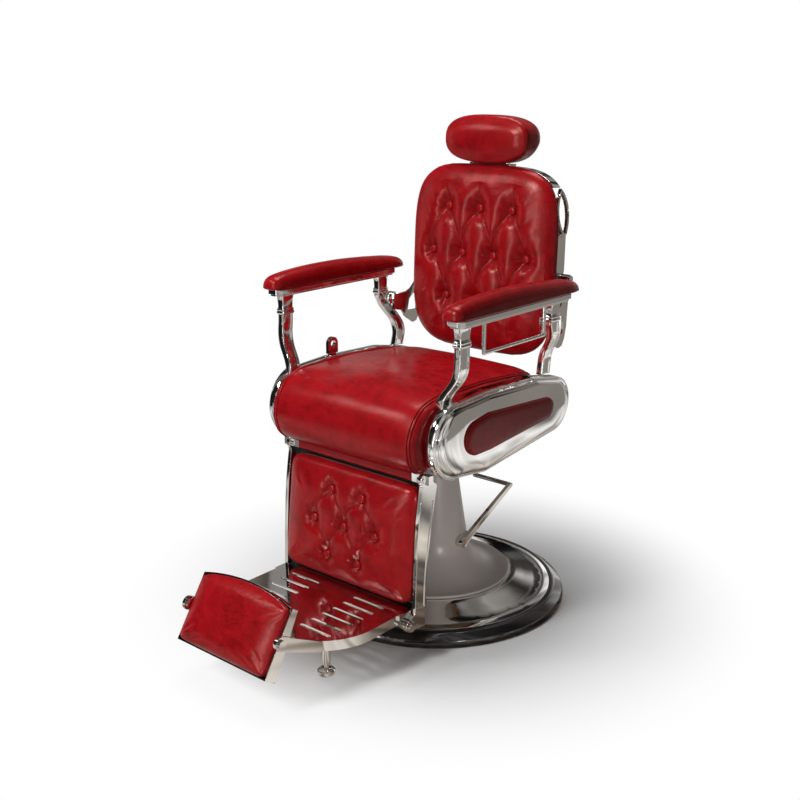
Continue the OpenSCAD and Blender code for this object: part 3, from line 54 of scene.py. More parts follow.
# Main sizes, in millimetres and degrees, as in the solids
PIVOT = (230.0, 820.0)
BACK_LEAN = 2.5
KNEE = (-300.0, 436.0)
LEG_LEAN = 6.3
KICK = (-693.0, 168.0)
KICK_TILT = 33.0

WELD_GAP = 1e-6  # metres
TINY = 1e-12
CURVE_STEPS = 12
SHADE_WEIGHT = 60
SIDES = ((1, "left"), (-1, "right"))
REPLACED = set()  # nodes of the solids that a piece made here stands for


# Geometry helpers

def turned(origin, degrees, about=(0.0, 0.0)):
    """A mover for arrays of points: turned in the YZ plane by degrees, top backwards."""
    c = math.cos(math.radians(degrees))
    s = math.sin(math.radians(degrees))

    def move(pts):
        pts = np.asarray(pts, float)
        y = pts[:, 1] - about[0]
        z = pts[:, 2] - about[1]
        return np.column_stack([pts[:, 0], origin[0] + y * c + z * s, origin[1] - y * s + z * c])
    return move


lean = turned(PIVOT, BACK_LEAN, PIVOT)
hang = turned(KNEE, LEG_LEAN)
tilt = turned(KICK, KICK_TILT)


def moved(pts, offset, mover):
    return mover(np.asarray(pts) + np.array(offset, float))


def make(name, verts, faces, body, slot, mat, stands_for=(), crease_shade=None):
    """A smooth mesh piece from millimetre points, on a body, with its finish."""
    mesh = bpy.data.meshes.new(name)
    mesh.from_pydata((np.asarray(verts, float) * MM).tolist(), [], faces)
    # Painted shade for the folds, one share per point, kept as a layer on the mesh
    if crease_shade is not None:
        layer = mesh.attributes.new("fold_shade", "FLOAT", "POINT")
        layer.data.foreach_set("value", np.asarray(crease_shade, np.float32))
    bm = bmesh.new()
    bm.from_mesh(mesh)
    bmesh.ops.remove_doubles(bm, verts=bm.verts, dist=WELD_GAP)
    bmesh.ops.recalc_face_normals(bm, faces=bm.faces)
    bm.to_mesh(mesh)
    bm.free()
    mesh.polygons.foreach_set("use_smooth", [True] * len(mesh.polygons))
    obj = bpy.data.objects.new(name, mesh)
    bpy.context.scene.collection.objects.link(obj)
    mesh.materials.append(mat)
    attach(obj, body)
    if stands_for:
        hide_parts(*stands_for)
        REPLACED.update(stands_for)
    return obj


def bevel(obj, width, segments, angle):
    mod = obj.modifiers.new("edge", "BEVEL")
    mod.width = width * MM
    mod.segments = segments
    mod.limit_method = "ANGLE"
    mod.angle_limit = math.radians(angle)
    mod.harden_normals = False
    shade = obj.modifiers.new("shade", "WEIGHTED_NORMAL")
    shade.keep_sharp = False
    shade.weight = SHADE_WEIGHT


def skin(rings):
    """Verts and faces of a skin over closed rings of equal length, open at its ends."""
    rings = [np.asarray(ring, float) for ring in rings]
    n = len(rings[0])
    faces = []
    for j in range(len(rings) - 1):
        for i in range(n):
            a, b = j * n + i, j * n + (i + 1) % n
            faces.append((a, b, b + n, a + n))
    return np.vstack(rings), faces


def fan_caps(rings):
    """As skin, with each end closed by a fan to its middle."""
    verts, faces = skin(rings)
    n = len(rings[0])
    base = len(verts)
    last = (len(rings) - 1) * n
    verts = np.vstack([verts, np.mean(rings[0], axis=0), np.mean(rings[-1], axis=0)])
    faces += [(base, (i + 1) % n, i) for i in range(n)]
    faces += [(base + 1, last + i, last + (i + 1) % n) for i in range(n)]
    return verts, faces


def resample(pts, count):
    """Catmull-Rom curve through pts at equal spacing."""
    pts = np.asarray(pts, float)
    last = len(pts) - 1
    dense = []
    for i in range(last):
        before, start, end, after = (pts[min(max(i + k, 0), last)] for k in (-1, 0, 1, 2))
        for t in np.linspace(0, 1, CURVE_STEPS, endpoint=False):
            dense.append(0.5 * (2 * start + (end - before) * t
                                + (2 * before - 5 * start + 4 * end - after) * t * t
                                + (3 * start - before - 3 * end + after) * t ** 3))
    dense.append(pts[-1])
    dense = np.array(dense)
    run = np.concatenate([[0], np.cumsum(np.linalg.norm(np.diff(dense, axis=0), axis=1))])
    want = np.linspace(0, run[-1], count)
    return np.column_stack([np.interp(want, run, dense[:, k]) for k in range(pts.shape[1])])


def tube(path, radius, sides):
    """A round tube along an open path that lies in a plane of equal x."""
    along = np.gradient(path, axis=0)
    along /= np.linalg.norm(along, axis=1)[:, None] + TINY
    normal = np.array([1.0, 0.0, 0.0])
    rings = []
    for place, forward in zip(path, along):
        normal = normal - (normal @ forward) * forward
        normal /= np.linalg.norm(normal) + TINY
        side = np.cross(forward, normal)
        rings.append([place + radius * (math.cos(a) * normal + math.sin(a) * side)
                      for a in np.linspace(0, 2 * math.pi, sides, endpoint=False)])
    return fan_caps(rings)


def join(*parts):
    """One verts and faces list from several."""
    verts, faces, base = [], [], 0
    for part_verts, part_faces in parts:
        verts.append(np.asarray(part_verts, float))
        faces += [tuple(i + base for i in face) for face in part_faces]
        base += len(part_verts)
    return np.vstack(verts), faces


def hug(circles, grow, step):
    """Outline that hugs circles (y, z, r), as [y, z] points, one for each step in degrees."""
    out = []
    for t in np.arange(0, 360, step):
        d = np.array([math.cos(math.radians(t)), math.sin(math.radians(t))])
        k = max(circles, key=lambda c: c[0] * d[0] + c[1] * d[1] + c[2])
        out.append([k[0] + (k[2] + grow) * d[0], k[1] + (k[2] + grow) * d[1]])
    return np.array(out)


def squared(value, power):
    """A cosine or sine bent outwards, for a rounded rectangle."""
    return math.copysign(abs(value) ** (2 / power), value)


def box(x0, x1, y0, y1, z0, z1):
    verts = [(x, y, z) for x in (x0, x1) for y in (y0, y1) for z in (z0, z1)]
    faces = [(0, 1, 3, 2), (4, 6, 7, 5), (0, 4, 5, 1), (2, 3, 7, 6), (0, 2, 6, 4), (1, 5, 7, 3)]
    return np.array(verts, float), faces


# Materials

def new_material(name):
    mat = bpy.data.materials.new(name)
    mat.use_nodes = True
    tree = mat.node_tree
    return mat, tree, tree.nodes["Principled BSDF"]


def add(tree, kind, inputs=None, **props):
    node = tree.nodes.new(kind)
    for key, value in props.items():
        setattr(node, key, value)
    for key, value in (inputs or {}).items():
        if isinstance(value, bpy.types.NodeSocket):
            tree.links.new(value, node.inputs[key])
        else:
            node.inputs[key].default_value = value
    return node


def calc(tree, operation, a, b):
    return add(tree, "ShaderNodeMath", {0: a, 1: b}, operation=operation).outputs[0]


def coords(tree):
    return add(tree, "ShaderNodeTexCoord").outputs["Object"]


def stretched(tree, vec, scale):
    return add(tree, "ShaderNodeMapping", {"Vector": vec, "Scale": scale}).outputs[0]


def noise_node(tree, vec, scale, detail, rough=0.5, distortion=0.0):
    inputs = {"Vector": vec, "Scale": scale, "Detail": detail, "Roughness": rough, "Distortion": distortion}
    return add(tree, "ShaderNodeTexNoise", inputs).outputs["Fac"]


def ramp(tree, fac, stops):
    node = add(tree, "ShaderNodeValToRGB", {"Fac": fac})
    elements = node.color_ramp.elements
    while len(elements) < len(stops):
        elements.new(0.5)
    for element, (place, color) in zip(elements, stops):
        element.position = place
        element.color = (*color, 1.0)
    return node.outputs["Color"]


def remap(tree, fac, low, high):
    return add(tree, "ShaderNodeMapRange", {"Value": fac, "To Min": low, "To Max": high}).outputs["Result"]


def mix(tree, fac, a, b, blend="MIX"):
    node = tree.nodes.new("ShaderNodeMix")
    node.data_type = "RGBA"
    node.blend_type = blend
    for key, value in (("Factor", fac), ("A", a), ("B", b)):
        socket = [s for s in node.inputs if s.name == key and (s.type == "RGBA" or key == "Factor")][0]
        if isinstance(value, bpy.types.NodeSocket):
            tree.links.new(value, socket)
        else:
            socket.default_value = value if key == "Factor" else (*value, 1.0)
    return [s for s in node.outputs if s.type == "RGBA"][0]


def times(tree, a, b):
    return mix(tree, 1.0, a, b, "MULTIPLY")


def bump(tree, bsdf, heights):
    """Stacks (height socket, strength, distance) bumps on the shader."""
    normal = None
    for height, strength, distance in heights:
        node = add(tree, "ShaderNodeBump", {"Height": height, "Strength": strength, "Distance": distance})
        if normal is not None:
            tree.links.new(normal, node.inputs["Normal"])
        normal = node.outputs["Normal"]
    tree.links.new(normal, bsdf.inputs["Normal"])


WHITE = (1, 1, 1)
BLACK = (0, 0, 0)
SMOOTH_LEATHER, WORN_LEATHER = 0.20, 0.30
METAL_LOW_SHARE, PAINT_LOW_SHARE, PAINT_ROUGH_SPREAD = 0.9, 0.88, 0.07
LEATHER_TONES = [(0.30, (0.255, 0.0035, 0.0065)), (0.50, (0.360, 0.0055, 0.0090)),
                 (0.66, (0.420, 0.0075, 0.0115))]
STROKE_TONES = [(0.36, (0.62, 0.58, 0.58)), (0.50, WHITE)]
# Painted shade: the leather is darkened where it folds at buttons and pleats, as if shade fell there
FOLD_SHADE_TONES = [(0.0, WHITE), (1.0, (0.42, 0.36, 0.36))]


def leather():
    """Red leather: cloudy tone, dark strokes in places, painted shade in the folds, fine grain."""
    mat, tree, bsdf = new_material("red_leather")
    vec = coords(tree)
    broad = noise_node(tree, vec, scale=5.5, detail=4.0, distortion=0.3)
    cloudy = noise_node(tree, vec, scale=30.0, detail=7.0, rough=0.68, distortion=0.35)
    strokes = noise_node(tree, stretched(tree, vec, (1.0, 2.4, 2.4)), scale=34.0, detail=5.0, rough=0.7,
                         distortion=0.8)
    tone = ramp(tree, cloudy, LEATHER_TONES)
    where = ramp(tree, broad, [(0.42, BLACK), (0.60, WHITE)])
    tone = mix(tree, where, tone, times(tree, tone, ramp(tree, strokes, STROKE_TONES)))
    # Painted shade from the mesh's fold layer, multiplied into the tone
    fold_shade = add(tree, "ShaderNodeAttribute", attribute_name="fold_shade").outputs["Fac"]
    tree.links.new(times(tree, tone, ramp(tree, fold_shade, FOLD_SHADE_TONES)), bsdf.inputs["Base Color"])
    tree.links.new(remap(tree, cloudy, WORN_LEATHER, SMOOTH_LEATHER), bsdf.inputs["Roughness"])
    grain = add(tree, "ShaderNodeTexVoronoi", {"Vector": vec, "Scale": 520.0}).outputs["Distance"]
    wrinkle = noise_node(tree, vec, scale=60.0, detail=6.0, rough=0.65, distortion=1.5)
    soft = noise_node(tree, vec, scale=14.0, detail=3.0)
    bump(tree, bsdf, [(grain, 0.08, 0.0004), (wrinkle, 0.09, 0.0010), (soft, 0.07, 0.004)])
    bsdf.inputs["Specular IOR Level"].default_value = 0.5
    bsdf.inputs["IOR"].default_value = 1.4
    bsdf.inputs["Specular Tint"].default_value = (1.0, 0.55, 0.5, 1.0)
    return mat


def metal(name, color, rough, rough_spread):
    mat, tree, bsdf = new_material(name)
    vec = coords(tree)
    cloud = noise_node(tree, vec, scale=9.0, detail=4.0)
    fine = noise_node(tree, vec, scale=140.0, detail=3.0)
    low = tuple(c * METAL_LOW_SHARE for c in color)
    tree.links.new(ramp(tree, cloud, [(0.35, low), (0.65, color)]), bsdf.inputs["Base Color"])
    tree.links.new(remap(tree, fine, rough, rough + rough_spread), bsdf.inputs["Roughness"])
    bsdf.inputs["Metallic"].default_value = 1.0
    bump(tree, bsdf, [(cloud, 0.05, 0.004)])
    return mat


def paint(name, color, rough, coat=0.0):
    mat, tree, bsdf = new_material(name)
    vec = coords(tree)
    cloud = noise_node(tree, vec, scale=6.0, detail=4.0)
    peel = noise_node(tree, vec, scale=260.0, detail=2.0)
    low = tuple(c * PAINT_LOW_SHARE for c in color)
    tree.links.new(ramp(tree, cloud, [(0.3, low), (0.7, color)]), bsdf.inputs["Base Color"])
    tree.links.new(remap(tree, cloud, rough, rough + PAINT_ROUGH_SPREAD), bsdf.inputs["Roughness"])
    bump(tree, bsdf, [(peel, 0.06, 0.0006)])
    bsdf.inputs["Coat Weight"].default_value = coat
    bsdf.inputs["Coat Roughness"].default_value = 0.05
    return mat


def plywood():
    mat, tree, bsdf = new_material("plywood")
    along = stretched(tree, coords(tree), (6.0, 60.0, 60.0))
    grain = noise_node(tree, along, scale=4.0, detail=6.0, rough=0.6, distortion=0.5)
    tree.links.new(ramp(tree, grain, [(0.3, (0.30, 0.19, 0.10)), (0.7, (0.52, 0.36, 0.21))]),
                   bsdf.inputs["Base Color"])
    bsdf.inputs["Roughness"].default_value = 0.6
    bump(tree, bsdf, [(grain, 0.2, 0.0006)])
    return mat


LEATHER = leather()
CHROME = metal("mirror_chrome", (0.80, 0.79, 0.77), rough=0.045, rough_spread=0.03)

SLOT_MATERIAL = {"leather": LEATHER,
                 "chrome": CHROME,
                 "grey_paint": paint("grey_enamel", (0.62, 0.545, 0.51), rough=0.28),
                 "black_paint": paint("black_enamel", (0.012, 0.012, 0.013), rough=0.16, coat=1.0),
                 "steel": metal("machined_steel", (0.42, 0.42, 0.43), rough=0.30, rough_spread=0.12),
                 "board": plywood(),
                 "liner": paint("matt_liner", (0.03, 0.03, 0.03), rough=0.7),
                 "bronze": metal("plain_bronze", (0.60, 0.42, 0.18), rough=0.32, rough_spread=0.1)}


def leather_piece(name, verts, faces, body, *stands_for, crease_shade=None):
    return make(name, verts, faces, body, "leather", LEATHER, stands_for, crease_shade)


for part in frame["record"]["subparts"]:
    node = NODES[part["node"]]
    node.data.materials.clear()
    node.data.materials.append(SLOT_MATERIAL[part["material_slot"]])


# Forms of tufted leather, in millimetres and shares

EDGE_GATHER_SHARE = 0.45
WOBBLE_SIZE = 70
PLEAT_BOW, PLEAT_POINTS = 1.9, 14
BOWL_STRETCH, BOWL_POWER = 1.35, 1.7
RIDGES, RIDGE_SHARE, RIDGE_TURN, RIDGE_REACH, RIDGE_WIDE = 7, 0.05, 1.7, 20, 9
# Painted shade: how dark and how wide it falls round each button and along each pleat
BUTTON_SHADE_SHARE, BUTTON_SHADE_WIDE = 0.9, 14
PLEAT_SHADE_SHARE, PLEAT_SHADE_WIDE = 0.55, 2.6
PLEAT_FADE, PLEAT_SAG_SHARE = 0.6, 0.3
LOOSE_HALF_SHARE, LOOSE_SPREAD = 0.5, 1.6

# Rings of a pad's side: share of the edge's depth, and share of the tuck
SIDE_SHARES = [(0.75, 0.0), (0.5, 0.2), (0.25, 0.5), (0.0, 1.0)]
BACK_PLANE_SHARE = 0.8


def gather(t):
    """Spreads grid lines so that they lie closer at the edges."""
    return (1 - EDGE_GATHER_SHARE) * t + EDGE_GATHER_SHARE * np.sin(t * math.pi / 2)


def polyline_gap(x, z, path):
    """Distance to a polyline and the place along it as 0..1."""
    best = np.full(x.shape, np.inf)
    place = np.zeros(x.shape)
    n = len(path) - 1
    for i in range(n):
        a, b = path[i], path[i + 1]
        ab = b - a
        t = np.clip(((x - a[0]) * ab[0] + (z - a[1]) * ab[1]) / (ab @ ab), 0, 1)
        gap = np.hypot(x - a[0] - t * ab[0], z - a[1] - t * ab[1])
        closer = gap < best
        best = np.where(closer, gap, best)
        place = np.where(closer, (i + t) / n, place)
    return best, place


def pleat_path(a, b):
    """A pleat from one button down to the next: half a pointed arch, upright at its foot."""
    a, b = np.array(a, float), np.array(b, float)
    t = np.linspace(0, 1, PLEAT_POINTS)
    return np.column_stack([a[0] + (b[0] - a[0]) * (1 - (1 - t) ** PLEAT_BOW), a[1] + (b[1] - a[1]) * t])


def tied_pleats(top, low, reach):
    """Pleats between the buttons of two rows that stand closer than reach."""
    return [(pleat_path(a, b), 1.0, False) for a in top for b in low if abs(a[0] - b[0]) < reach]


def loose_pleats(dots, length, share, spread):
    """Pleats that run from a button towards the pad's edge and fade there."""
    return [(np.array([(x, z), (x + spread * x, z + length * LOOSE_HALF_SHARE),
                       (x + spread * LOOSE_SPREAD * x, z + length)]), share, True) for x, z in dots]


def tufting(x, z, dots, pleats, deep, radius, pleat_deep, wide):
    """Depth below the crown in mm, and how much painted shade each point gets as it lies in a fold."""
    keep = np.ones(x.shape)
    fold_shade = np.zeros(x.shape)
    for k, (a, b) in enumerate(dots):
        tall = np.where(z > b, BOWL_STRETCH, 1.0)
        r = np.hypot(x - a, (z - b) / tall)
        bowl = np.exp(-(r / radius) ** BOWL_POWER)
        angle = np.arctan2(z - b, x - a)
        ridges = (RIDGE_SHARE * np.cos(RIDGES * angle + RIDGE_TURN * k)
                  * np.exp(-((r - RIDGE_REACH) / RIDGE_WIDE) ** 2))
        keep *= 1 - np.clip(bowl + ridges, 0, 1)
        # Painted shade in the dimple round the button
        fold_shade = np.maximum(fold_shade, BUTTON_SHADE_SHARE * np.exp(-(r / BUTTON_SHADE_WIDE) ** 2))
    valley = np.zeros(x.shape)
    for path, share, loose in pleats:
        gap, place = polyline_gap(x, z, path)
        hold = (1 - place) ** PLEAT_FADE if loose else 1 - PLEAT_SAG_SHARE * np.sin(math.pi * place)
        valley = np.maximum(valley, share * hold * np.exp(-(np.sqrt(gap * gap + 1.0) - 1.0) / wide))
        # Painted shade along the pleat's valley
        fold_shade = np.maximum(fold_shade, PLEAT_SHADE_SHARE * share * hold * np.exp(-(gap / PLEAT_SHADE_WIDE) ** 2))
    keep *= 1 - (pleat_deep / deep) * valley
    return deep * (1 - keep), fold_shade


def pad(hw, hh, power, edge, crown, soft, columns, rows, wobble, arch=0.0, tuck=0.03):
    """A crowned pad: half width and height, outline power, side and crown depth, roundness."""
    u, v = np.meshgrid(gather(np.linspace(-1, 1, columns + 1)), gather(np.linspace(-1, 1, rows + 1)))
    m = np.maximum(np.abs(u), np.abs(v))
    norm = (np.abs(u) ** power + np.abs(v) ** power) ** (1 / power)
    k = np.where(norm > 0, m / np.where(norm > 0, norm, 1), 0)
    px, pz = u * k, v * k
    x = hw * px
    z = hh * pz + arch * np.maximum(0, pz) * (1 - px * px)
    height = np.sqrt(np.maximum(0, 1 - m ** soft))
    dip = np.zeros(x.shape)
    for i in range(x.shape[0]):
        for j in range(x.shape[1]):
            dip[i, j] = wobble * noise.noise((x[i, j] / WOBBLE_SIZE, z[i, j] / WOBBLE_SIZE, hw))
    y = -edge - height * (crown - dip)
    idx = np.arange(x.size).reshape(x.shape)
    front = np.column_stack([x.ravel(), y.ravel(), z.ravel()])
    faces = [(idx[j, i], idx[j, i + 1], idx[j + 1, i + 1], idx[j + 1, i])
             for j in range(rows) for i in range(columns)]
    loop = list(idx[0, :-1]) + list(idx[:-1, -1]) + list(idx[-1, :0:-1]) + list(idx[:0:-1, 0])
    rim = front[loop]
    count = len(loop)
    base = x.size
    verts = [front]
    sides = [(share, 1 - tuck * drawn) for share, drawn in SIDE_SHARES] + [(0.0, BACK_PLANE_SHARE)]
    for share, scale in sides:
        ring = rim * [scale, 1, scale]
        ring[:, 1] = -edge * share
        verts.append(ring)
        row = list(range(base, base + count))
        faces += [(loop[i], loop[(i + 1) % count], row[(i + 1) % count], row[i]) for i in range(count)]
        loop = row
        base += count
    faces.append(tuple(loop))
    return np.vstack(verts), faces


# Cloth over the filling

PRESSURE, FRAMES, CLOTH_QUALITY = 4.0, 20, 5
COARSE, MEDIUM, FINE = 6.0, 5.0, 4.0  # voxels
HELD_MARGIN = 2


def points(mesh):
    flat = np.empty(len(mesh.vertices) * 3, np.float32)
    mesh.vertices.foreach_get("co", flat)
    return flat.reshape(-1, 3).astype(float) / MM


def as_shown(obj):
    """A new mesh of the object with its modifiers."""
    return bpy.data.meshes.new_from_object(obj.evaluated_get(bpy.context.evaluated_depsgraph_get()))


def stuffed(verts, faces, held, cap, voxel=COARSE):
    """The form as cloth blown up over its filling, by cap at most. held says which points stay put."""
    mesh = bpy.data.meshes.new("stuffing")
    mesh.from_pydata((np.asarray(verts, float) * MM).tolist(), [], faces)
    obj = bpy.data.objects.new("stuffing", mesh)
    scene = bpy.context.scene
    scene.collection.objects.link(obj)
    remesh = obj.modifiers.new("skin", "REMESH")
    remesh.mode = "VOXEL"
    remesh.voxel_size = voxel * MM
    plain = as_shown(obj)
    obj.modifiers.clear()
    obj.data = plain
    start = points(plain)
    still = obj.vertex_groups.new(name="held")
    still.add([int(i) for i in np.flatnonzero(held(start))], 1.0, "REPLACE")
    cloth = obj.modifiers.new("cloth", "CLOTH")
    cloth.settings.quality = CLOTH_QUALITY
    cloth.settings.vertex_group_mass = "held"
    cloth.settings.use_pressure = True
    cloth.settings.uniform_pressure_force = PRESSURE
    cloth.settings.effector_weights.gravity = 0
    cloth.collision_settings.use_collision = False
    cloth.point_cache.frame_start = 1
    cloth.point_cache.frame_end = FRAMES
    for frame_no in range(1, FRAMES + 1):
        scene.frame_set(frame_no)
    puffed = as_shown(obj)
    move = points(puffed) - start
    far = np.linalg.norm(move, axis=1)[:, None]
    settled = start + move * np.minimum(1, cap / np.maximum(far, TINY))
    obj.modifiers.clear()
    plain.vertices.foreach_set("co", (settled * MM).astype(np.float32).ravel())
    plain.update()
    obj.modifiers.new("finer", "SUBSURF").levels = 1
    finer = as_shown(obj)
    result = points(finer), [tuple(poly.vertices) for poly in finer.polygons]
    bpy.data.objects.remove(obj)
    for used in (mesh, plain, puffed, finer):
        bpy.data.meshes.remove(used)
    scene.frame_set(1)
    return result


def tufted(size, columns, rows, relief, wobble, cap):
    """A pad stuffed as cloth, then drawn in at its buttons and pleats, with painted shade for its folds."""
    edge = size["edge"]
    verts, faces = pad(**size, columns=columns, rows=rows, wobble=wobble)
    verts, faces = stuffed(verts, faces, lambda p: p[:, 1] > -edge - HELD_MARGIN, cap, MEDIUM)
    depth, fold_shade = relief(verts[:, 0], verts[:, 2])
    share = np.clip((-verts[:, 1] - edge) / size["crown"], 0, 1)
    verts[:, 1] += depth * share
    return verts, faces, fold_shade * (share > 0)


# Covered buttons: a low dome with a rolled edge, as shares of radius and height

BUTTON_RADIUS, BUTTON_HEIGHT, BUTTON_SIDES = 11.5, 9.0, 28
BUTTON_SHARES = [(0.86, 0.0), (0.97, 0.14), (1.0, 0.34), (0.95, 0.55), (0.8, 0.76), (0.55, 0.92),
                 (0.28, 0.99)]
BUTTON_REACH, BUTTON_SUNK, BUTTON_SEAT_POINTS = 8.0, 1.5, 12


def button_mesh():
    around = np.linspace(0, 2 * math.pi, BUTTON_SIDES, endpoint=False)
    rings = []
    for wide, high in BUTTON_SHARES:
        r = BUTTON_RADIUS * wide
        rings.append([(r * math.cos(a), -BUTTON_HEIGHT * high, r * math.sin(a)) for a in around])
    return fan_caps(rings)


def button_spots(dots, relief, hw, hh, power, edge, crown, soft):
    """Where the buttons sit: on the leather round each one, a little sunk."""
    out = []
    around = np.linspace(0, 2 * math.pi, BUTTON_SEAT_POINTS, endpoint=False)
    for a, b in dots:
        x = a + BUTTON_REACH * np.cos(around)
        z = b + BUTTON_REACH * np.sin(around)
        m = (np.abs(x / hw) ** power + np.abs(z / hh) ** power) ** (1 / power)
        height = np.sqrt(np.maximum(0, 1 - m ** soft))
        out.append((a, BUTTON_SUNK - float(np.mean(edge + height * (crown - relief(x, z)[0]))), b))
    return out


def buttons(name, spots, offset, mover, body, node):
    verts, faces = button_mesh()
    parts = [(moved(verts + np.array(spot), offset, mover), faces) for spot in spots]
    leather_piece(name, *join(*parts), body, node)


def dot_row(places, pitch, z):
    return [(place * pitch, z) for place in places]


# Back cushion

BACK_PAD = {"hw": 225.0, "hh": 239.0, "power": 4, "edge": 9, "crown": 42, "soft": 2.9}
BACK_AT = (0, 198.0, 849.0)
BACK_PITCH, BACK_ROW, BACK_DOT_Z = 98.0, 116.0, 13.0
back_top = dot_row((-1, 0, 1), BACK_PITCH, BACK_ROW + BACK_DOT_Z)
back_middle = dot_row((-1.5, -0.5, 0.5, 1.5), BACK_PITCH, BACK_DOT_Z)
back_low = dot_row((-1, 0, 1), BACK_PITCH, -BACK_ROW + BACK_DOT_Z)
back_dots = back_top + back_middle + back_low
back_pleats = (tied_pleats(back_top, back_middle, BACK_PITCH) + tied_pleats(back_middle, back_low, BACK_PITCH)
               + loose_pleats(back_top, 0.56 * BACK_ROW, share=1.0, spread=0.03)
               + loose_pleats(back_low, -0.8 * BACK_ROW, share=0.9, spread=0.04))


def back_relief(x, z):
    return tufting(x, z, back_dots, back_pleats, deep=27.0, radius=22.0, pleat_deep=15.0, wide=15.0)


verts, faces, fold_shade = tufted(BACK_PAD, columns=170, rows=180, relief=back_relief, wobble=1.2, cap=1.6)
leather_piece("back_cushion_leather", moved(verts, BACK_AT, lean), faces, "back", "back_cushion", crease_shade=fold_shade)
back_spots = button_spots(back_dots, back_relief, **BACK_PAD)
buttons("back_buttons_covered", back_spots, BACK_AT, lean, "back", "back_buttons")


# Leg pad

LEG_PAD = {"hw": 201.5, "hh": 142.0, "power": 12, "edge": 26, "crown": 32, "soft": 3.0}
LEG_AT = (0, 23.7, -162.0)
LEG_PITCH, LEG_ROW = 97.0, 81.0
leg_top = dot_row((-0.5, 0.5), LEG_PITCH, LEG_ROW)
leg_middle = dot_row((-1, 0, 1), LEG_PITCH, 0)
leg_low = dot_row((-0.5, 0.5), LEG_PITCH, -LEG_ROW)
leg_dots = leg_top + leg_middle + leg_low
leg_pleats = (tied_pleats(leg_top, leg_middle, LEG_PITCH) + tied_pleats(leg_middle, leg_low, LEG_PITCH)
              + loose_pleats(leg_top, 0.5 * LEG_ROW, share=0.9, spread=0.1)
              + loose_pleats(leg_low, -0.55 * LEG_ROW, share=0.9, spread=0.1))


def leg_relief(x, z):
    return tufting(x, z, leg_dots, leg_pleats, deep=17.0, radius=18.0, pleat_deep=9.0, wide=11.0)


verts, faces, fold_shade = tufted(LEG_PAD, columns=150, rows=120, relief=leg_relief, wobble=0.8, cap=1.0)
leather_piece("leg_pad_leather", moved(verts, LEG_AT, hang), faces, "leg_rest", "leg_pad", crease_shade=fold_shade)
leg_spots = button_spots(leg_dots, leg_relief, **LEG_PAD)
buttons("leg_buttons_covered", leg_spots, LEG_AT, hang, "leg_rest", "leg_buttons")


# Headrest

HEAD_HW, HEAD_HH, HEAD_POWER = 127.0, 59.5, 2.65
HEAD_AT = (0, 213, 1149)
HEAD_STEP = 2.5  # degrees
HEAD_FACE, HEAD_BULGE, HEAD_HELD = -41.6, 1.6, 1
HEAD_DEEP_INSET, HEAD_INSET_SHARE = 20, 0.42
HEAD_WOBBLE, HEAD_WOBBLE_AT = 1.4, 7.7
HEAD_WOBBLE_WIDE, HEAD_WOBBLE_HIGH = 60, 45
HOOP_SLOPE, HOOP_SLOPE_FROM, HOOP_SLOPE_FADE = 0.5, 6, 20

# Place along the depth, and how far the outline is drawn in there: bowed front panel,
# welt groove, side band, rounded rear
HEAD_RINGS = [(-48.5, 104), (-48.3, 84), (-47.7, 64), (-46.7, 46), (-45.3, 31), (-43.6, 20), (-41.6, 12),
              (-39.6, 6.6), (-38.0, 3.6), (-36.8, 1.9), (-36.0, 1.7), (-35.3, 2.6), (-34.6, 3.2),
              (-33.8, 2.4), (-32.8, 1.0), (-31, 0.4), (-27, 0.1), (-18, 0.0), (0, 0.0), (14, 0.4), (22, 2.0),
              (28, 4.8), (33, 9.2), (37, 15), (39.6, 23), (41.4, 36), (42.2, 60), (42.4, 100)]


def headrest():
    rings = []
    for y, inset in HEAD_RINGS:
        hx = HEAD_HW - inset
        hz = HEAD_HH - (inset if inset < HEAD_DEEP_INSET
                        else HEAD_DEEP_INSET + HEAD_INSET_SHARE * (inset - HEAD_DEEP_INSET))
        if y < HEAD_FACE:
            y = HEAD_FACE + HEAD_BULGE * (y - HEAD_FACE)
        rings.append([(hx * squared(math.cos(a), HEAD_POWER), y, hz * squared(math.sin(a), HEAD_POWER))
                      for a in np.radians(np.arange(0, 360, HEAD_STEP))])
    verts, faces = fan_caps(rings)
    for i, p in enumerate(verts):
        spot = (p[0] / HEAD_WOBBLE_WIDE, p[2] / HEAD_WOBBLE_HIGH, HEAD_WOBBLE_AT)
        verts[i, 1] += HEAD_WOBBLE * noise.noise(spot)
    verts, faces = stuffed(verts, faces, lambda p: p[:, 1] > HEAD_FACE + HEAD_HELD, cap=3.0, voxel=FINE)
    # The lower rear edge slopes up, so that it clears the hoop when the headrest is tilted
    lift = HOOP_SLOPE * np.clip(verts[:, 1] - HOOP_SLOPE_FROM, 0, None)
    verts[:, 2] += lift * np.clip(-verts[:, 2] / HOOP_SLOPE_FADE, 0, 1)
    leather_piece("headrest_leather", moved(verts, HEAD_AT, lean), faces, "headrest", "headrest_pad")


headrest()


# Kick pad and rear panel

KICK_AT, KICK_HELD = (0, 15.5, -3.0), -18
REAR_PANEL_AT, REAR_PANEL_HELD = (0, 225.6, 849.0), -9

verts, faces = pad(hw=138.6, hh=75.7, power=14, edge=15, crown=17, soft=2.7, columns=72, rows=48, wobble=0.5,
                   arch=19.0, tuck=0.0)
verts, faces = stuffed(verts, faces, lambda p: p[:, 1] > KICK_HELD, cap=1.5, voxel=FINE)
leather_piece("kick_pad_leather", moved(verts, KICK_AT, tilt), faces, "kick_flap", "kick_pad")

verts, faces = pad(hw=202, hh=229, power=4, edge=7, crown=8, soft=6, columns=60, rows=60, wobble=0.8)
verts, faces = stuffed(verts, faces, lambda p: p[:, 1] > REAR_PANEL_HELD, cap=3.0)
verts = moved(verts * [-1, -1, 1], REAR_PANEL_AT, lean)
leather_piece("rear_panel_leather", verts, faces, "back", "rear_panel")


# Seat cushion: a side profile in shares of its depth and height, drawn in towards both ends

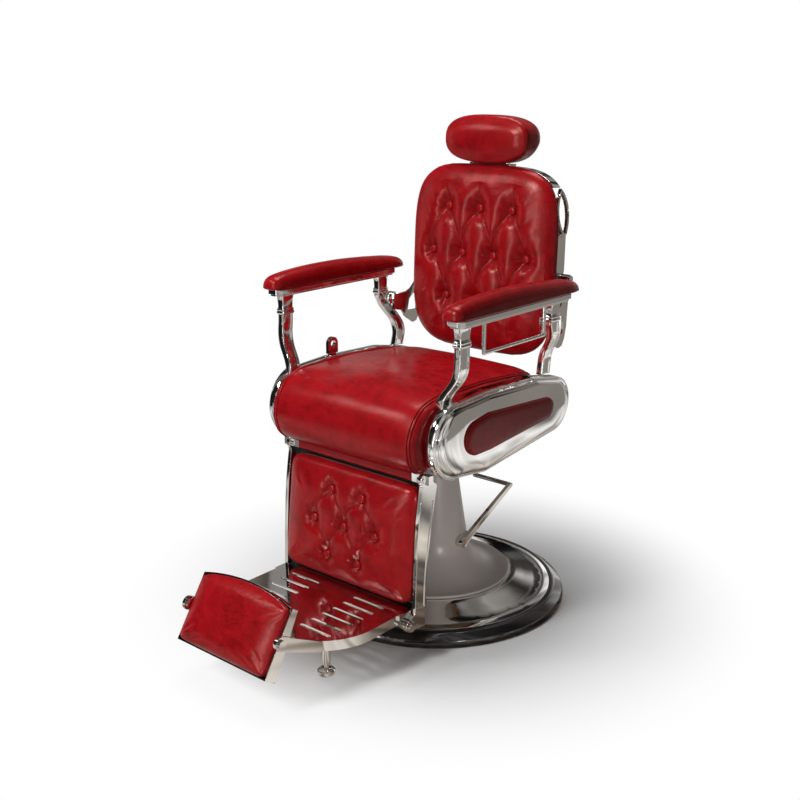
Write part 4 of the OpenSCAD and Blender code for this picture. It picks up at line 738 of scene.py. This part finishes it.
SEAT_HW, SEAT_FRONT, SEAT_REAR, SEAT_LOW, SEAT_TOP = 226.0, -358.0, 148.0, 449.0, 621.0
SEAT_DEEP, SEAT_TALL = SEAT_REAR - SEAT_FRONT, SEAT_TOP - SEAT_LOW
BOARD_TOP, RAIL_FRONT = 520.3, -282.3
BOARD_SHARE = (BOARD_TOP - SEAT_LOW) / SEAT_TALL
RAIL_SHARE = (RAIL_FRONT - SEAT_FRONT) / SEAT_DEEP
SEAT_CURVE_SHARES = [(0.985, BOARD_SHARE), (1, 0.58), (0.995, 0.74), (0.975, 0.85), (0.93, 0.91),
                     (0.83, 0.945), (0.7, 0.975), (0.55, 1), (0.4, 1), (0.25, 1), (0.18, 0.985), (0.12, 0.94),
                     (0.075, 0.865), (0.04, 0.75), (0.01, 0.59), (0, 0.42), (0.006, 0.27), (0.025, 0.13),
                     (0.06, 0.035), (0.1, 0), (0.135, 0.03)]
RAIL_SHARES = [(RAIL_SHARE, 0.12), (RAIL_SHARE, BOARD_SHARE)]
EYE_SHARES = (0.115, 0.55)
CURVE_POINTS, UNDER_POINTS = 110, 12
CROWN, CROWN_FROM, RAIL_BACK = 7, 520, -282
SECTION_GAP, SEAT_ROUND = 9, 0.2
SECTION_TURNS = [2, 5, 9, 14, 20, 27, 34, 42, 50, 58, 66, 74, 82, 90]  # degrees
SEAT_WOBBLE, SEAT_WOBBLE_SIZE, SEAT_WOBBLE_AT, SEAT_WOBBLE_FROM = 1.6, 80, 3.1, 540
HELD_SIDE, HELD_LOW, HELD_RAIL_Y, HELD_RAIL_Z = 0.88 * SEAT_HW, 460, -275, 530
WELT_SHARES, WELT_RADIUS, WELT_SIDES, WELT_POWER, WELT_END = (0.905, 0.935), 2.6, 8, 10, 120


def seat_places(shares):
    return np.array([[SEAT_FRONT + a * SEAT_DEEP, SEAT_LOW + b * SEAT_TALL] for a, b in shares])


seat_eye = seat_places([EYE_SHARES])[0]
seat_curve = resample(seat_places(SEAT_CURVE_SHARES), CURVE_POINTS)
seat_rail = seat_places(RAIL_SHARES)
seat_under = resample([seat_rail[1], seat_places(SEAT_CURVE_SHARES[:1])[0]], UNDER_POINTS)[1:-1]
seat_loop = np.vstack([seat_curve, seat_rail, seat_under])


def seat_section(across, drawn, loop):
    """The loop at a share of the half width, drawn in towards its eye."""
    pts = []
    for y, z in loop:
        up = 0
        if z > BOARD_TOP:
            up = CROWN * (1 - across * across) * (z - CROWN_FROM) / (SEAT_TOP - CROWN_FROM)
        floor = BOARD_TOP if y > RAIL_BACK else SEAT_LOW
        pts.append((across * SEAT_HW, seat_eye[0] + (y - seat_eye[0]) * drawn,
                    max(seat_eye[1] + (z - seat_eye[1]) * drawn + up, floor)))
    return np.array(pts)


def seat_cuts():
    """Shares of half width and of size, for the sections from side to side."""
    coarse = [(-math.cos(math.radians(t)) ** SEAT_ROUND, math.sin(math.radians(t)) ** SEAT_ROUND)
              for t in SECTION_TURNS]
    coarse += [(-across, drawn) for across, drawn in coarse[-2::-1]]
    fine = []
    for (a0, a1), (b0, b1) in zip(coarse[:-1], coarse[1:]):
        pieces = max(1, int(abs(b0 - a0) * SEAT_HW / SECTION_GAP))
        fine += [(a0 + (b0 - a0) * k / pieces, a1 + (b1 - a1) * k / pieces) for k in range(pieces)]
    return fine + [coarse[-1]]


def seat_held(p):
    """The piped sides, the lower edge and the step behind the apron stay put."""
    step = (p[:, 1] > HELD_RAIL_Y) & (p[:, 2] < HELD_RAIL_Z)
    return (np.abs(p[:, 0]) > HELD_SIDE) | (p[:, 2] < HELD_LOW) | step


verts, faces = fan_caps([seat_section(*cut, seat_loop) for cut in seat_cuts()])
for i, p in enumerate(verts):
    if p[2] > SEAT_WOBBLE_FROM:
        spot = (p[0] / SEAT_WOBBLE_SIZE, p[1] / SEAT_WOBBLE_SIZE, SEAT_WOBBLE_AT)
        verts[i, 2] += SEAT_WOBBLE * noise.noise(spot)
verts, faces = stuffed(verts, faces, seat_held, cap=5.0)
leather_piece("seat_cushion_leather", verts, faces, "seat", "seat_cushion")

welts = []
for side in (-1, 1):
    for across in WELT_SHARES:
        ring = seat_section(side * across, (1 - across ** WELT_POWER) ** (1 / WELT_POWER), seat_curve)
        welts.append(tube(ring[ring[:, 1] < WELT_END], WELT_RADIUS, WELT_SIDES))
leather_piece("seat_piping", *join(*welts), "seat")


# Apron strip between the knee brackets

APRON_EDGE, APRON_STEPS, APRON_ANGLE = 4.0, 4, 32
lo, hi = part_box("apron")
apron = leather_piece("apron_leather", *box(*[c / MM for pair in zip(lo, hi) for c in pair]), "seat", "apron")
bevel(apron, APRON_EDGE, APRON_STEPS, APRON_ANGLE)


# Arm pads: place along, height and width as shares

ARM_SHARES = [(0, 0.2, 0.3), (0.004, 0.40, 0.6), (0.012, 0.56, 0.8), (0.025, 0.67, 0.92),
              (0.045, 0.745, 0.98), (0.08, 0.815, 1), (0.13, 0.88, 1), (0.2, 0.94, 1), (0.28, 0.98, 1),
              (0.36, 1, 1), (0.45, 1, 1), (0.54, 0.98, 1), (0.63, 0.93, 1), (0.71, 0.88, 1), (0.78, 0.82, 1),
              (0.84, 0.77, 1), (0.89, 0.71, 0.99), (0.93, 0.64, 0.96), (0.96, 0.56, 0.89), (0.98, 0.45, 0.78),
              (0.992, 0.32, 0.6), (1, 0.14, 0.35)]
ARM_X, ARM_FRONT, ARM_REAR, ARM_Z = 277.0, -302.0, 187.0, 805.3
ARM_HW, ARM_TALL, ARM_POWER = 29, 46, 2.6
ARM_SECTIONS, ARM_STEP, ARM_HELD = 90, 7.5, 14


def arm_pad(side, node):
    rings = []
    for place, high, wide in resample(ARM_SHARES, ARM_SECTIONS):
        y = ARM_FRONT + place * (ARM_REAR - ARM_FRONT)
        rings.append([(side * (ARM_X + ARM_HW * wide * squared(math.cos(t), ARM_POWER)), y,
                       ARM_Z + ARM_TALL * high * squared(math.sin(t), ARM_POWER))
                      for t in np.radians(np.arange(180, -1, -ARM_STEP))])
    verts, faces = fan_caps(rings)
    verts, faces = stuffed(verts, faces, lambda p: p[:, 2] < ARM_Z + ARM_HELD, cap=2.0, voxel=FINE)
    leather_piece(node + "_leather", verts, faces, "seat", node)


for side, label in SIDES:
    arm_pad(side, "arm_pad_" + label)


# Side shells and their insets, from outlines that hug circles (y, z, r)

SHELL_CIRCLES = [(-236, 522, 88), (-130, 481, 60), (150, 520, 70), (-130, 556, 60), (50, 549, 60),
                 (108, 538, 60)]
INSET_CIRCLES = [(-190, 521, 40), (-140, 525, 44), (93, 526, 27)]
SHELL_STEP, INSET_STEP = 2.0, 3.0  # degrees
SHELL_X, RIM, DEPTH = 230.0, 28.0, 42.0
RIM_ROUND, RIM_TURNS = 2.5, (25, 50, 75, 90)
RIM_BACK, RIM_LAND, GROOVE, GROOVE_LOW, GROOVE_HIGH = -3.0, -5.0, 0.9, -5.6, -6.4
SHELL_CROWN, INSET_MARGIN = 2.4, 6.0
SHELL_CROWN_SHARES = np.concatenate([[0, 0.01, 0.03], np.linspace(0.06, 1, 26)])
INSET_GAP, INSET_HIGH = 0.15, 7.5
# How far a ring is drawn in, and its share of the inset's height
INSET_SHARES = [(0, 0.0), (-0.4, 0.25), (-0.1, 0.5), (1.0, 0.72), (3.0, 0.88), (7.0, 0.97), (14.0, 1.0),
                (20.0, 1.0)]


def side_ring(side, x, outline):
    return np.column_stack([np.full(len(outline), side * x), outline])


def shell(side, node):
    """Flat rim with a rounded edge, a groove, and a crowned face that rises to the inset."""
    edge = SHELL_X + RIM
    start = hug(SHELL_CIRCLES, GROOVE_HIGH, SHELL_STEP)
    land = hug(INSET_CIRCLES, INSET_MARGIN, SHELL_STEP)
    places = [(SHELL_X, RIM_BACK), (SHELL_X, 0.0), (edge - RIM_ROUND, 0.0)]
    places += [(edge - RIM_ROUND + RIM_ROUND * math.sin(math.radians(turn)),
                -RIM_ROUND + RIM_ROUND * math.cos(math.radians(turn))) for turn in RIM_TURNS]
    places += [(edge, RIM_LAND), (edge - GROOVE, GROOVE_LOW)]
    rings = [side_ring(side, x, hug(SHELL_CIRCLES, grow, SHELL_STEP)) for x, grow in places]
    for share in SHELL_CROWN_SHARES:
        lift = (1 - (1 - share) ** SHELL_CROWN) ** (1 / SHELL_CROWN)
        x = edge - GROOVE + (DEPTH - RIM + GROOVE) * lift
        rings.append(side_ring(side, x, start + share * (land - start)))
    make(node + "_cover", *fan_caps(rings), "seat", "chrome", CHROME, (node,))


def inset(side, node):
    foot = SHELL_X + DEPTH + INSET_GAP
    rings = [side_ring(side, foot + INSET_HIGH * up, hug(INSET_CIRCLES, -drawn, INSET_STEP))
             for drawn, up in INSET_SHARES]
    leather_piece(node + "_leather", *fan_caps(rings), "seat", node)


for side, label in SIDES:
    shell(side, "side_shell_" + label)
for side, label in SIDES:
    inset(side, "inset_pad_" + label)


# Arm posts: courses of height, offset out and offset back

FRONT_COURSE = [(600, -36.5, -14), (615, -36, -14), (622, -34, -13.5), (630, -30, -12), (638, -25, -10.5),
                (646, -19, -8.5), (654, -13.5, -7), (662, -8.5, -5.5), (670, -4.5, -4), (680, -1.5, -3),
                (692, 0.5, -2), (706, 1, -1), (722, 0.5, 0), (742, 0, 0)]
REAR_COURSE = [(600, -36, 24), (610, -36.8, 26), (620, -37.4, 28), (630, -37.5, 30), (640, -36.8, 31),
               (650, -34.5, 31.5), (660, -31, 31), (670, -25, 29.5), (680, -18.5, 26.5), (690, -12, 22),
               (700, -6.5, 17), (710, -3, 11.5), (722, -1, 5.5), (732, 0, 1.5), (742, 0, 0)]
POST_X, FRONT_POST_Y, REAR_POST_Y = 273.0, -249.0, 104.0
POST_HW, POST_HD, POST_SECTIONS = 9.0, 17.0, 46

# How far a quarter of the recessed section lies in from the post's face and from its edge
POST_EDGE = [(1.6, 0), (0.5, 0.4), (0, 1.6), (0, 3.6), (0.4, 4.6), (2.2, 6.0), (2.8, 7.4), (3.0, 11)]

# Bead, waist and neck under the arm: height, half width, half depth, corner radius
COLLAR = [(740, 9, 17, 2), (741, 11.5, 18, 3), (743, 13.0, 19, 3.5), (746, 13.4, 19.3, 3.5),
          (748, 12.6, 18.6, 3.2), (749.2, 11.0, 17.6, 3), (750.4, 11.8, 18.0, 3), (752, 12.6, 18.6, 3),
          (754, 12.2, 18.2, 3), (755, 10.6, 17.4, 3), (757, 9.6, 16.8, 2.5), (764, 9.6, 16.8, 2.5),
          (774, 10.2, 17.2, 2.5), (782, 11.0, 18.0, 2.5), (786, 12.2, 19.0, 2.5), (788, 12.4, 19.2, 2.5)]
CORNER_STEPS = 5
BAND_WIDE, BAND_IN, BAND_OUT, BAND_END = 20, 0.15, 3.5, -232
BAND_ROUND, BAND_CROWN, BAND_SHOULDER = 1.2, 0.9, 0.3
BAND_SHOULDER_X, BAND_FLAT_X = 0.4, 1.4
LUG = (238.2, 268.0, 106.0, 137.0, 715.0, 742.0)


def post_section():
    """Recessed casting section in x and y, with rolled edges."""
    quarter = [(POST_HW - deep, -POST_HD + along) for deep, along in POST_EDGE]
    half = quarter + [(x, -y) for x, y in quarter[::-1]]
    return np.array(half + [(-x, y) for x, y in half[::-1]])


def placed(section, x, y, z):
    return np.column_stack([x + section[:, 0], y + section[:, 1], np.full(len(section), z)])


def rounded_rect(hx, hy, r):
    pts = []
    for across, along, first in ((1, -1, -90), (1, 1, 0), (-1, 1, 90), (-1, -1, 180)):
        for k in range(CORNER_STEPS + 1):
            a = math.radians(first + 90 * k / CORNER_STEPS)
            pts.append((across * (hx - r) + r * math.cos(a), along * (hy - r) + r * math.sin(a)))
    return np.array(pts)


def collar(y0):
    return fan_caps([placed(rounded_rect(hx, hy, r), POST_X, y0, z) for z, hx, hy, r in COLLAR])


def strip_band():
    """The band that wraps the front of the shell, from the post down to its lower end."""
    x0 = SHELL_X + RIM - BAND_WIDE
    x1 = SHELL_X + RIM
    inner = hug(SHELL_CIRCLES, BAND_IN, SHELL_STEP)
    outer = hug(SHELL_CIRCLES, BAND_OUT, SHELL_STEP)
    rings = []
    for low, high in zip(inner, outer):
        if high[0] < BAND_END:
            out = (high - low) / (BAND_OUT - BAND_IN)
            edge = high - BAND_ROUND * out
            shoulder = high - BAND_SHOULDER * out
            crown = high + BAND_CROWN * out
            rings.append([(x0, *low), (x0, *edge), (x0 + BAND_SHOULDER_X, *shoulder),
                          (x0 + BAND_FLAT_X, *high), ((x0 + x1) / 2, *crown), (x1 - BAND_FLAT_X, *high),
                          (x1 - BAND_SHOULDER_X, *shoulder), (x1, *edge), (x1, *low)])
    return fan_caps(rings)


def post(side, y0, course, node, extra):
    rings = [placed(post_section(), POST_X + dx, y0 + dy, z) for z, dx, dy in resample(course, POST_SECTIONS)]
    verts, faces = join(fan_caps(rings), collar(y0), extra)
    make(node + "_casting", verts * [side, 1, 1], faces, "seat", "chrome", CHROME, (node,))


for side, label in SIDES:
    post(side, FRONT_POST_Y, FRONT_COURSE, "front_post_" + label, strip_band())
    post(side, REAR_POST_Y, REAR_COURSE, "rear_post_" + label, box(*LUG))


# Solids that stay: smooth shading and small rounded edges

NODE_EDGE, ARM_BAR_EDGE, EDGE_STEPS, EDGE_ANGLE = 0.7, 1.2, 3, 30

for name in NODES:
    if name not in REPLACED:
        obj = NODES[name]
        if "custom_normal" in obj.data.attributes:
            obj.data.attributes.remove(obj.data.attributes["custom_normal"])
        obj.data.polygons.foreach_set("use_smooth", [True] * len(obj.data.polygons))
        obj.modifiers.new("weld", "WELD").merge_threshold = WELD_GAP
        edge = ARM_BAR_EDGE if name.startswith("arm_bar") else NODE_EDGE
        bevel(obj, edge, EDGE_STEPS, EDGE_ANGLE)


# Floor and studio: the camera sees a white room, chrome also sees the painted bands

FLOOR_HALF = 14.0  # metres, as all lengths from here on
DOME_RADIUS, DOME_SIDES, DOME_RINGS = 6.0, 64, 32
PLAIN_FROM, PLAIN_TO = 0.34, 0.85
STREAK_SHARE = 0.8
FLOOR_WHITE, FLOOR_BOUNCE = (0.96, 0.96, 0.96), (0.26, 0.25, 0.24)
# As mirrors see the floor: a painted shadow round the base, then painted pale and grey bands out to the dome
FLOOR_BANDS = [(0.03, (0.05, 0.04, 0.035)), (0.07, (0.16, 0.12, 0.095)), (0.11, (0.72, 0.66, 0.60)),
               (0.16, (0.56, 0.54, 0.52)), (0.22, (0.95, 0.94, 0.93)), (0.30, (0.72, 0.71, 0.70)),
               (0.42, (0.45, 0.44, 0.43))]
STREAK_TONES = [(0.38, (0.08, 0.07, 0.065)), (0.46, (0.90, 0.89, 0.87)), (0.55, (1.35, 1.35, 1.35)),
                (0.63, (0.5, 0.46, 0.43))]
# Round the horizon, from -180 to 180 degrees as 0..1
DOME_COLUMNS = [(0.00, (0.05, 0.045, 0.04)), (0.06, (0.85, 0.85, 0.85)), (0.10, (0.9, 0.9, 0.9)),
                (0.12, (0.02, 0.02, 0.02)), (0.19, (0.04, 0.035, 0.03)), (0.22, (1.1, 1.1, 1.1)),
                (0.30, (1.1, 1.1, 1.1)), (0.33, (0.06, 0.05, 0.045)), (0.42, (0.30, 0.27, 0.25)),
                (0.46, (0.95, 0.95, 0.95)), (0.55, (0.75, 0.74, 0.72)), (0.58, (0.03, 0.03, 0.03)),
                (0.66, (0.20, 0.17, 0.15)), (0.70, (0.9, 0.9, 0.9)), (0.80, (1.0, 1.0, 1.0)),
                (0.83, (0.03, 0.03, 0.03)), (0.93, (0.35, 0.31, 0.28)), (1.00, (0.05, 0.045, 0.04))]
# From the bottom to the top of the dome as 0..1
DOME_LEVELS = [(0.0, WHITE), (0.50, WHITE), (0.70, (0.9, 0.9, 0.9)), (0.76, (0.26, 0.25, 0.24)),
               (0.90, (0.26, 0.25, 0.24)), (0.94, (0.6, 0.6, 0.6)), (1.0, (0.8, 0.8, 0.8))]


def bearing(tree, split):
    """Angle round the object's upright axis, in radians."""
    return calc(tree, "ARCTAN2", split.outputs["Y"], split.outputs["X"])


def streaks(tree, along, turns_scale, run_scale):
    """Bright and dark bands that run outwards, for chrome to reflect."""
    split = add(tree, "ShaderNodeSeparateXYZ", {0: coords(tree)})
    across = calc(tree, "MULTIPLY", bearing(tree, split), turns_scale)
    down = calc(tree, "MULTIPLY", along, run_scale)
    spot = add(tree, "ShaderNodeCombineXYZ", {0: across, 1: down}).outputs[0]
    return ramp(tree, noise_node(tree, spot, scale=1.0, detail=1.2), STREAK_TONES)


def lit(mat, tree, shader):
    tree.links.new(shader.outputs[0], tree.nodes["Material Output"].inputs["Surface"])
    return mat


def glow(tree, color):
    return add(tree, "ShaderNodeEmission", {"Color": color, "Strength": 1.0})


def floor_paint():
    """Floor paint that turns into plain white far from the object."""
    mat, tree, bsdf = new_material("floor_paint")
    bsdf.inputs["Roughness"].default_value = 0.6
    bsdf.inputs["Specular IOR Level"].default_value = 0.0
    radius = add(tree, "ShaderNodeVectorMath", {0: coords(tree)}, operation="LENGTH").outputs["Value"]
    fade = add(tree, "ShaderNodeMapRange", {"Value": radius, "From Min": PLAIN_FROM, "From Max": PLAIN_TO},
               interpolation_type="SMOOTHSTEP").outputs["Result"]
    rays = add(tree, "ShaderNodeLightPath").outputs
    tree.links.new(mix(tree, rays["Is Diffuse Ray"], FLOOR_WHITE, FLOOR_BOUNCE), bsdf.inputs["Base Color"])
    seen = calc(tree, "MAXIMUM", rays["Is Camera Ray"], rays["Is Transmission Ray"])
    share = calc(tree, "MAXIMUM", calc(tree, "MULTIPLY", seen, fade), rays["Is Glossy Ray"])
    far = add(tree, "ShaderNodeMapRange", {"Value": radius, "From Max": DOME_RADIUS}).outputs["Result"]
    # Glossy rays see the painted bands and the painted shadow round the base
    bands = ramp(tree, far, FLOOR_BANDS)
    bands = mix(tree, STREAK_SHARE, bands, streaks(tree, radius, turns_scale=5.0, run_scale=0.6), "MULTIPLY")
    bright = glow(tree, mix(tree, rays["Is Glossy Ray"], WHITE, bands))
    both = add(tree, "ShaderNodeMixShader", {0: share, 1: bsdf.outputs[0], 2: bright.outputs[0]})
    return lit(mat, tree, both)


def card_paint(name, color):
    mat, tree, _ = new_material(name)
    return lit(mat, tree, glow(tree, (*color, 1)))


def dome_paint():
    """Pale softboxes between dark gaps."""
    mat, tree, _ = new_material("studio_dome")
    split = add(tree, "ShaderNodeSeparateXYZ", {0: coords(tree)})
    around = add(tree, "ShaderNodeMapRange", {"Value": bearing(tree, split), "From Min": -math.pi,
                                              "From Max": math.pi}).outputs["Result"]
    height = add(tree, "ShaderNodeMapRange", {"Value": split.outputs["Z"], "From Min": -DOME_RADIUS,
                                              "From Max": DOME_RADIUS}).outputs["Result"]
    tone = times(tree, ramp(tree, around, DOME_COLUMNS), ramp(tree, height, DOME_LEVELS))
    tone = times(tree, tone, streaks(tree, split.outputs["Z"], turns_scale=5.0, run_scale=0.25))
    return lit(mat, tree, glow(tree, tone))


def stage_piece(name, mesh, mat):
    mesh.materials.append(mat)
    obj = bpy.data.objects.new(name, mesh)
    bpy.context.scene.collection.objects.link(obj)
    return obj


def stage_plane(name, corners, mat):
    mesh = bpy.data.meshes.new(name)
    mesh.from_pydata(corners, [], [(0, 1, 2, 3)])
    return stage_piece(name, mesh, mat)


def mirror_only(obj):
    """A studio piece that shows in reflections and nowhere else."""
    for attr in ("visible_camera", "visible_diffuse", "visible_shadow", "visible_transmission"):
        setattr(obj, attr, False)


def card(name, centre, turned_to, width, height, color):
    """An upright studio card that only mirrors see."""
    c = np.array(centre, float)
    f = np.array([*turned_to, 0.0])
    f /= np.linalg.norm(f)
    side = np.array([-f[1], f[0], 0.0]) * width / 2
    up = np.array([0, 0, height / 2])
    corners = [tuple(c - side - up), tuple(c + side - up), tuple(c + side + up), tuple(c - side + up)]
    mirror_only(stage_plane(name, corners, card_paint(name + "_paint", color)))


def dome():
    bm = bmesh.new()
    bmesh.ops.create_uvsphere(bm, u_segments=DOME_SIDES, v_segments=DOME_RINGS, radius=DOME_RADIUS)
    mesh = bpy.data.meshes.new("studio_dome")
    bm.to_mesh(mesh)
    bm.free()
    mirror_only(stage_piece("studio_dome", mesh, dome_paint()))


stage_plane("floor", [(x * FLOOR_HALF, y * FLOOR_HALF, 0) for x, y in ((-1, -1), (1, -1), (1, 1), (-1, 1))],
            floor_paint())
card("card_side", centre=(1.35, 1.25, 0.36), turned_to=(-1, -1), width=1.5, height=0.72,
     color=(0.27, 0.245, 0.225))
card("card_left", centre=(-1.9, -1.6, 0.9), turned_to=(1, 0.6), width=0.9, height=1.8,
     color=(0.01, 0.01, 0.01))
card("card_front", centre=(1.1, -2.9, 0.5), turned_to=(-0.3, 1), width=0.5, height=1.0,
     color=(0.02, 0.018, 0.016))
dome()

DIFFUSE_SKY, SEEN_SKY = 0.07, 1.0
world = bpy.data.worlds.new("studio")
bpy.context.scene.world = world
world.use_nodes = True
tree = world.node_tree
background = tree.nodes["Background"]
background.inputs["Color"].default_value = (*WHITE, 1)
rays = add(tree, "ShaderNodeLightPath").outputs
seen = calc(tree, "MAXIMUM", rays["Is Camera Ray"], rays["Is Glossy Ray"])
seen = calc(tree, "MAXIMUM", seen, rays["Is Transmission Ray"])
tree.links.new(remap(tree, seen, DIFFUSE_SKY, SEEN_SKY), background.inputs["Strength"])


# Lights: place and aim in metres, size as width and height, power in watts

def looking(right, up, ahead, place):
    """The matrix of a light or camera that looks ahead."""
    matrix = Matrix.Identity(4)
    for i in range(3):
        matrix[i][0], matrix[i][1], matrix[i][2], matrix[i][3] = right[i], up[i], -ahead[i], place[i]
    return matrix


def area(name, place, aim, size, power):
    data = bpy.data.lights.new(name, "AREA")
    data.shape = "RECTANGLE"
    data.size, data.size_y = size
    data.energy = power
    obj = bpy.data.objects.new(name, data)
    bpy.context.scene.collection.objects.link(obj)
    ahead = np.array(aim, float) - np.array(place, float)
    ahead /= np.linalg.norm(ahead)
    right = np.cross(ahead, (0, 0, 1))
    right /= np.linalg.norm(right)
    obj.matrix_world = looking(right, np.cross(right, ahead), ahead, place)
    obj.visible_camera = False
    return obj


area("key", place=(-0.5, -2.7, 2.7), aim=(0, -0.1, 0.6), size=(0.6, 0.6), power=42)
area("streak", place=(-1.6, -1.8, 2.45), aim=(0, -0.2, 0.6), size=(0.5, 0.5), power=9)
area("strip", place=(-0.3, -3.0, 0.95), aim=(0.0, -0.2, 0.6), size=(0.3, 1.8), power=17)
area("fill", place=(2.6, -2.2, 1.4), aim=(0, -0.1, 0.6), size=(1.2, 1.2), power=1.5)
area("rear", place=(-2.2, 2.5, 1.7), aim=(0, 0, 0.7), size=(1.6, 1.2), power=1.3)
area("top", place=(-0.3, 0.2, 3.2), aim=(0, 0, 0.6), size=(1.4, 1.4), power=44)

SNOOT_DEGREES, SNOOT_BLEND, SNOOT_RADIUS = 20, 0.8, 0.1
snoot = area("snoot", place=(1.7, -1.0, 0.5), aim=(0, -0.02, 0.2), size=(0.1, 0.1), power=34)
snoot.data.type = "SPOT"
snoot.data.spot_size = math.radians(SNOOT_DEGREES)
snoot.data.spot_blend = SNOOT_BLEND
snoot.data.shadow_soft_size = SNOOT_RADIUS


# Camera, as fitted to the photo

PHOTO_WIDTH, FOCAL = 800.0, 1123.1  # pixels
SENSOR = 36.0  # millimetres
RIGHT, UP, AHEAD = (0.7608, 0.6490, 0.0), (-0.1824, 0.2139, 0.9597), (-0.6228, 0.7301, -0.2811)
CAMERA_AT, SEEN_TO = (1.7009, -2.1293, 1.3133), 60  # metres

camera = bpy.data.objects.new("camera", bpy.data.cameras.new("camera"))
bpy.context.scene.collection.objects.link(camera)
camera.data.sensor_width = SENSOR
camera.data.lens = FOCAL * SENSOR / PHOTO_WIDTH
camera.data.clip_end = SEEN_TO
camera.matrix_world = looking(RIGHT, UP, AHEAD, CAMERA_AT)
bpy.context.scene.camera = camera
bpy.context.scene.view_settings.view_transform = "Standard"
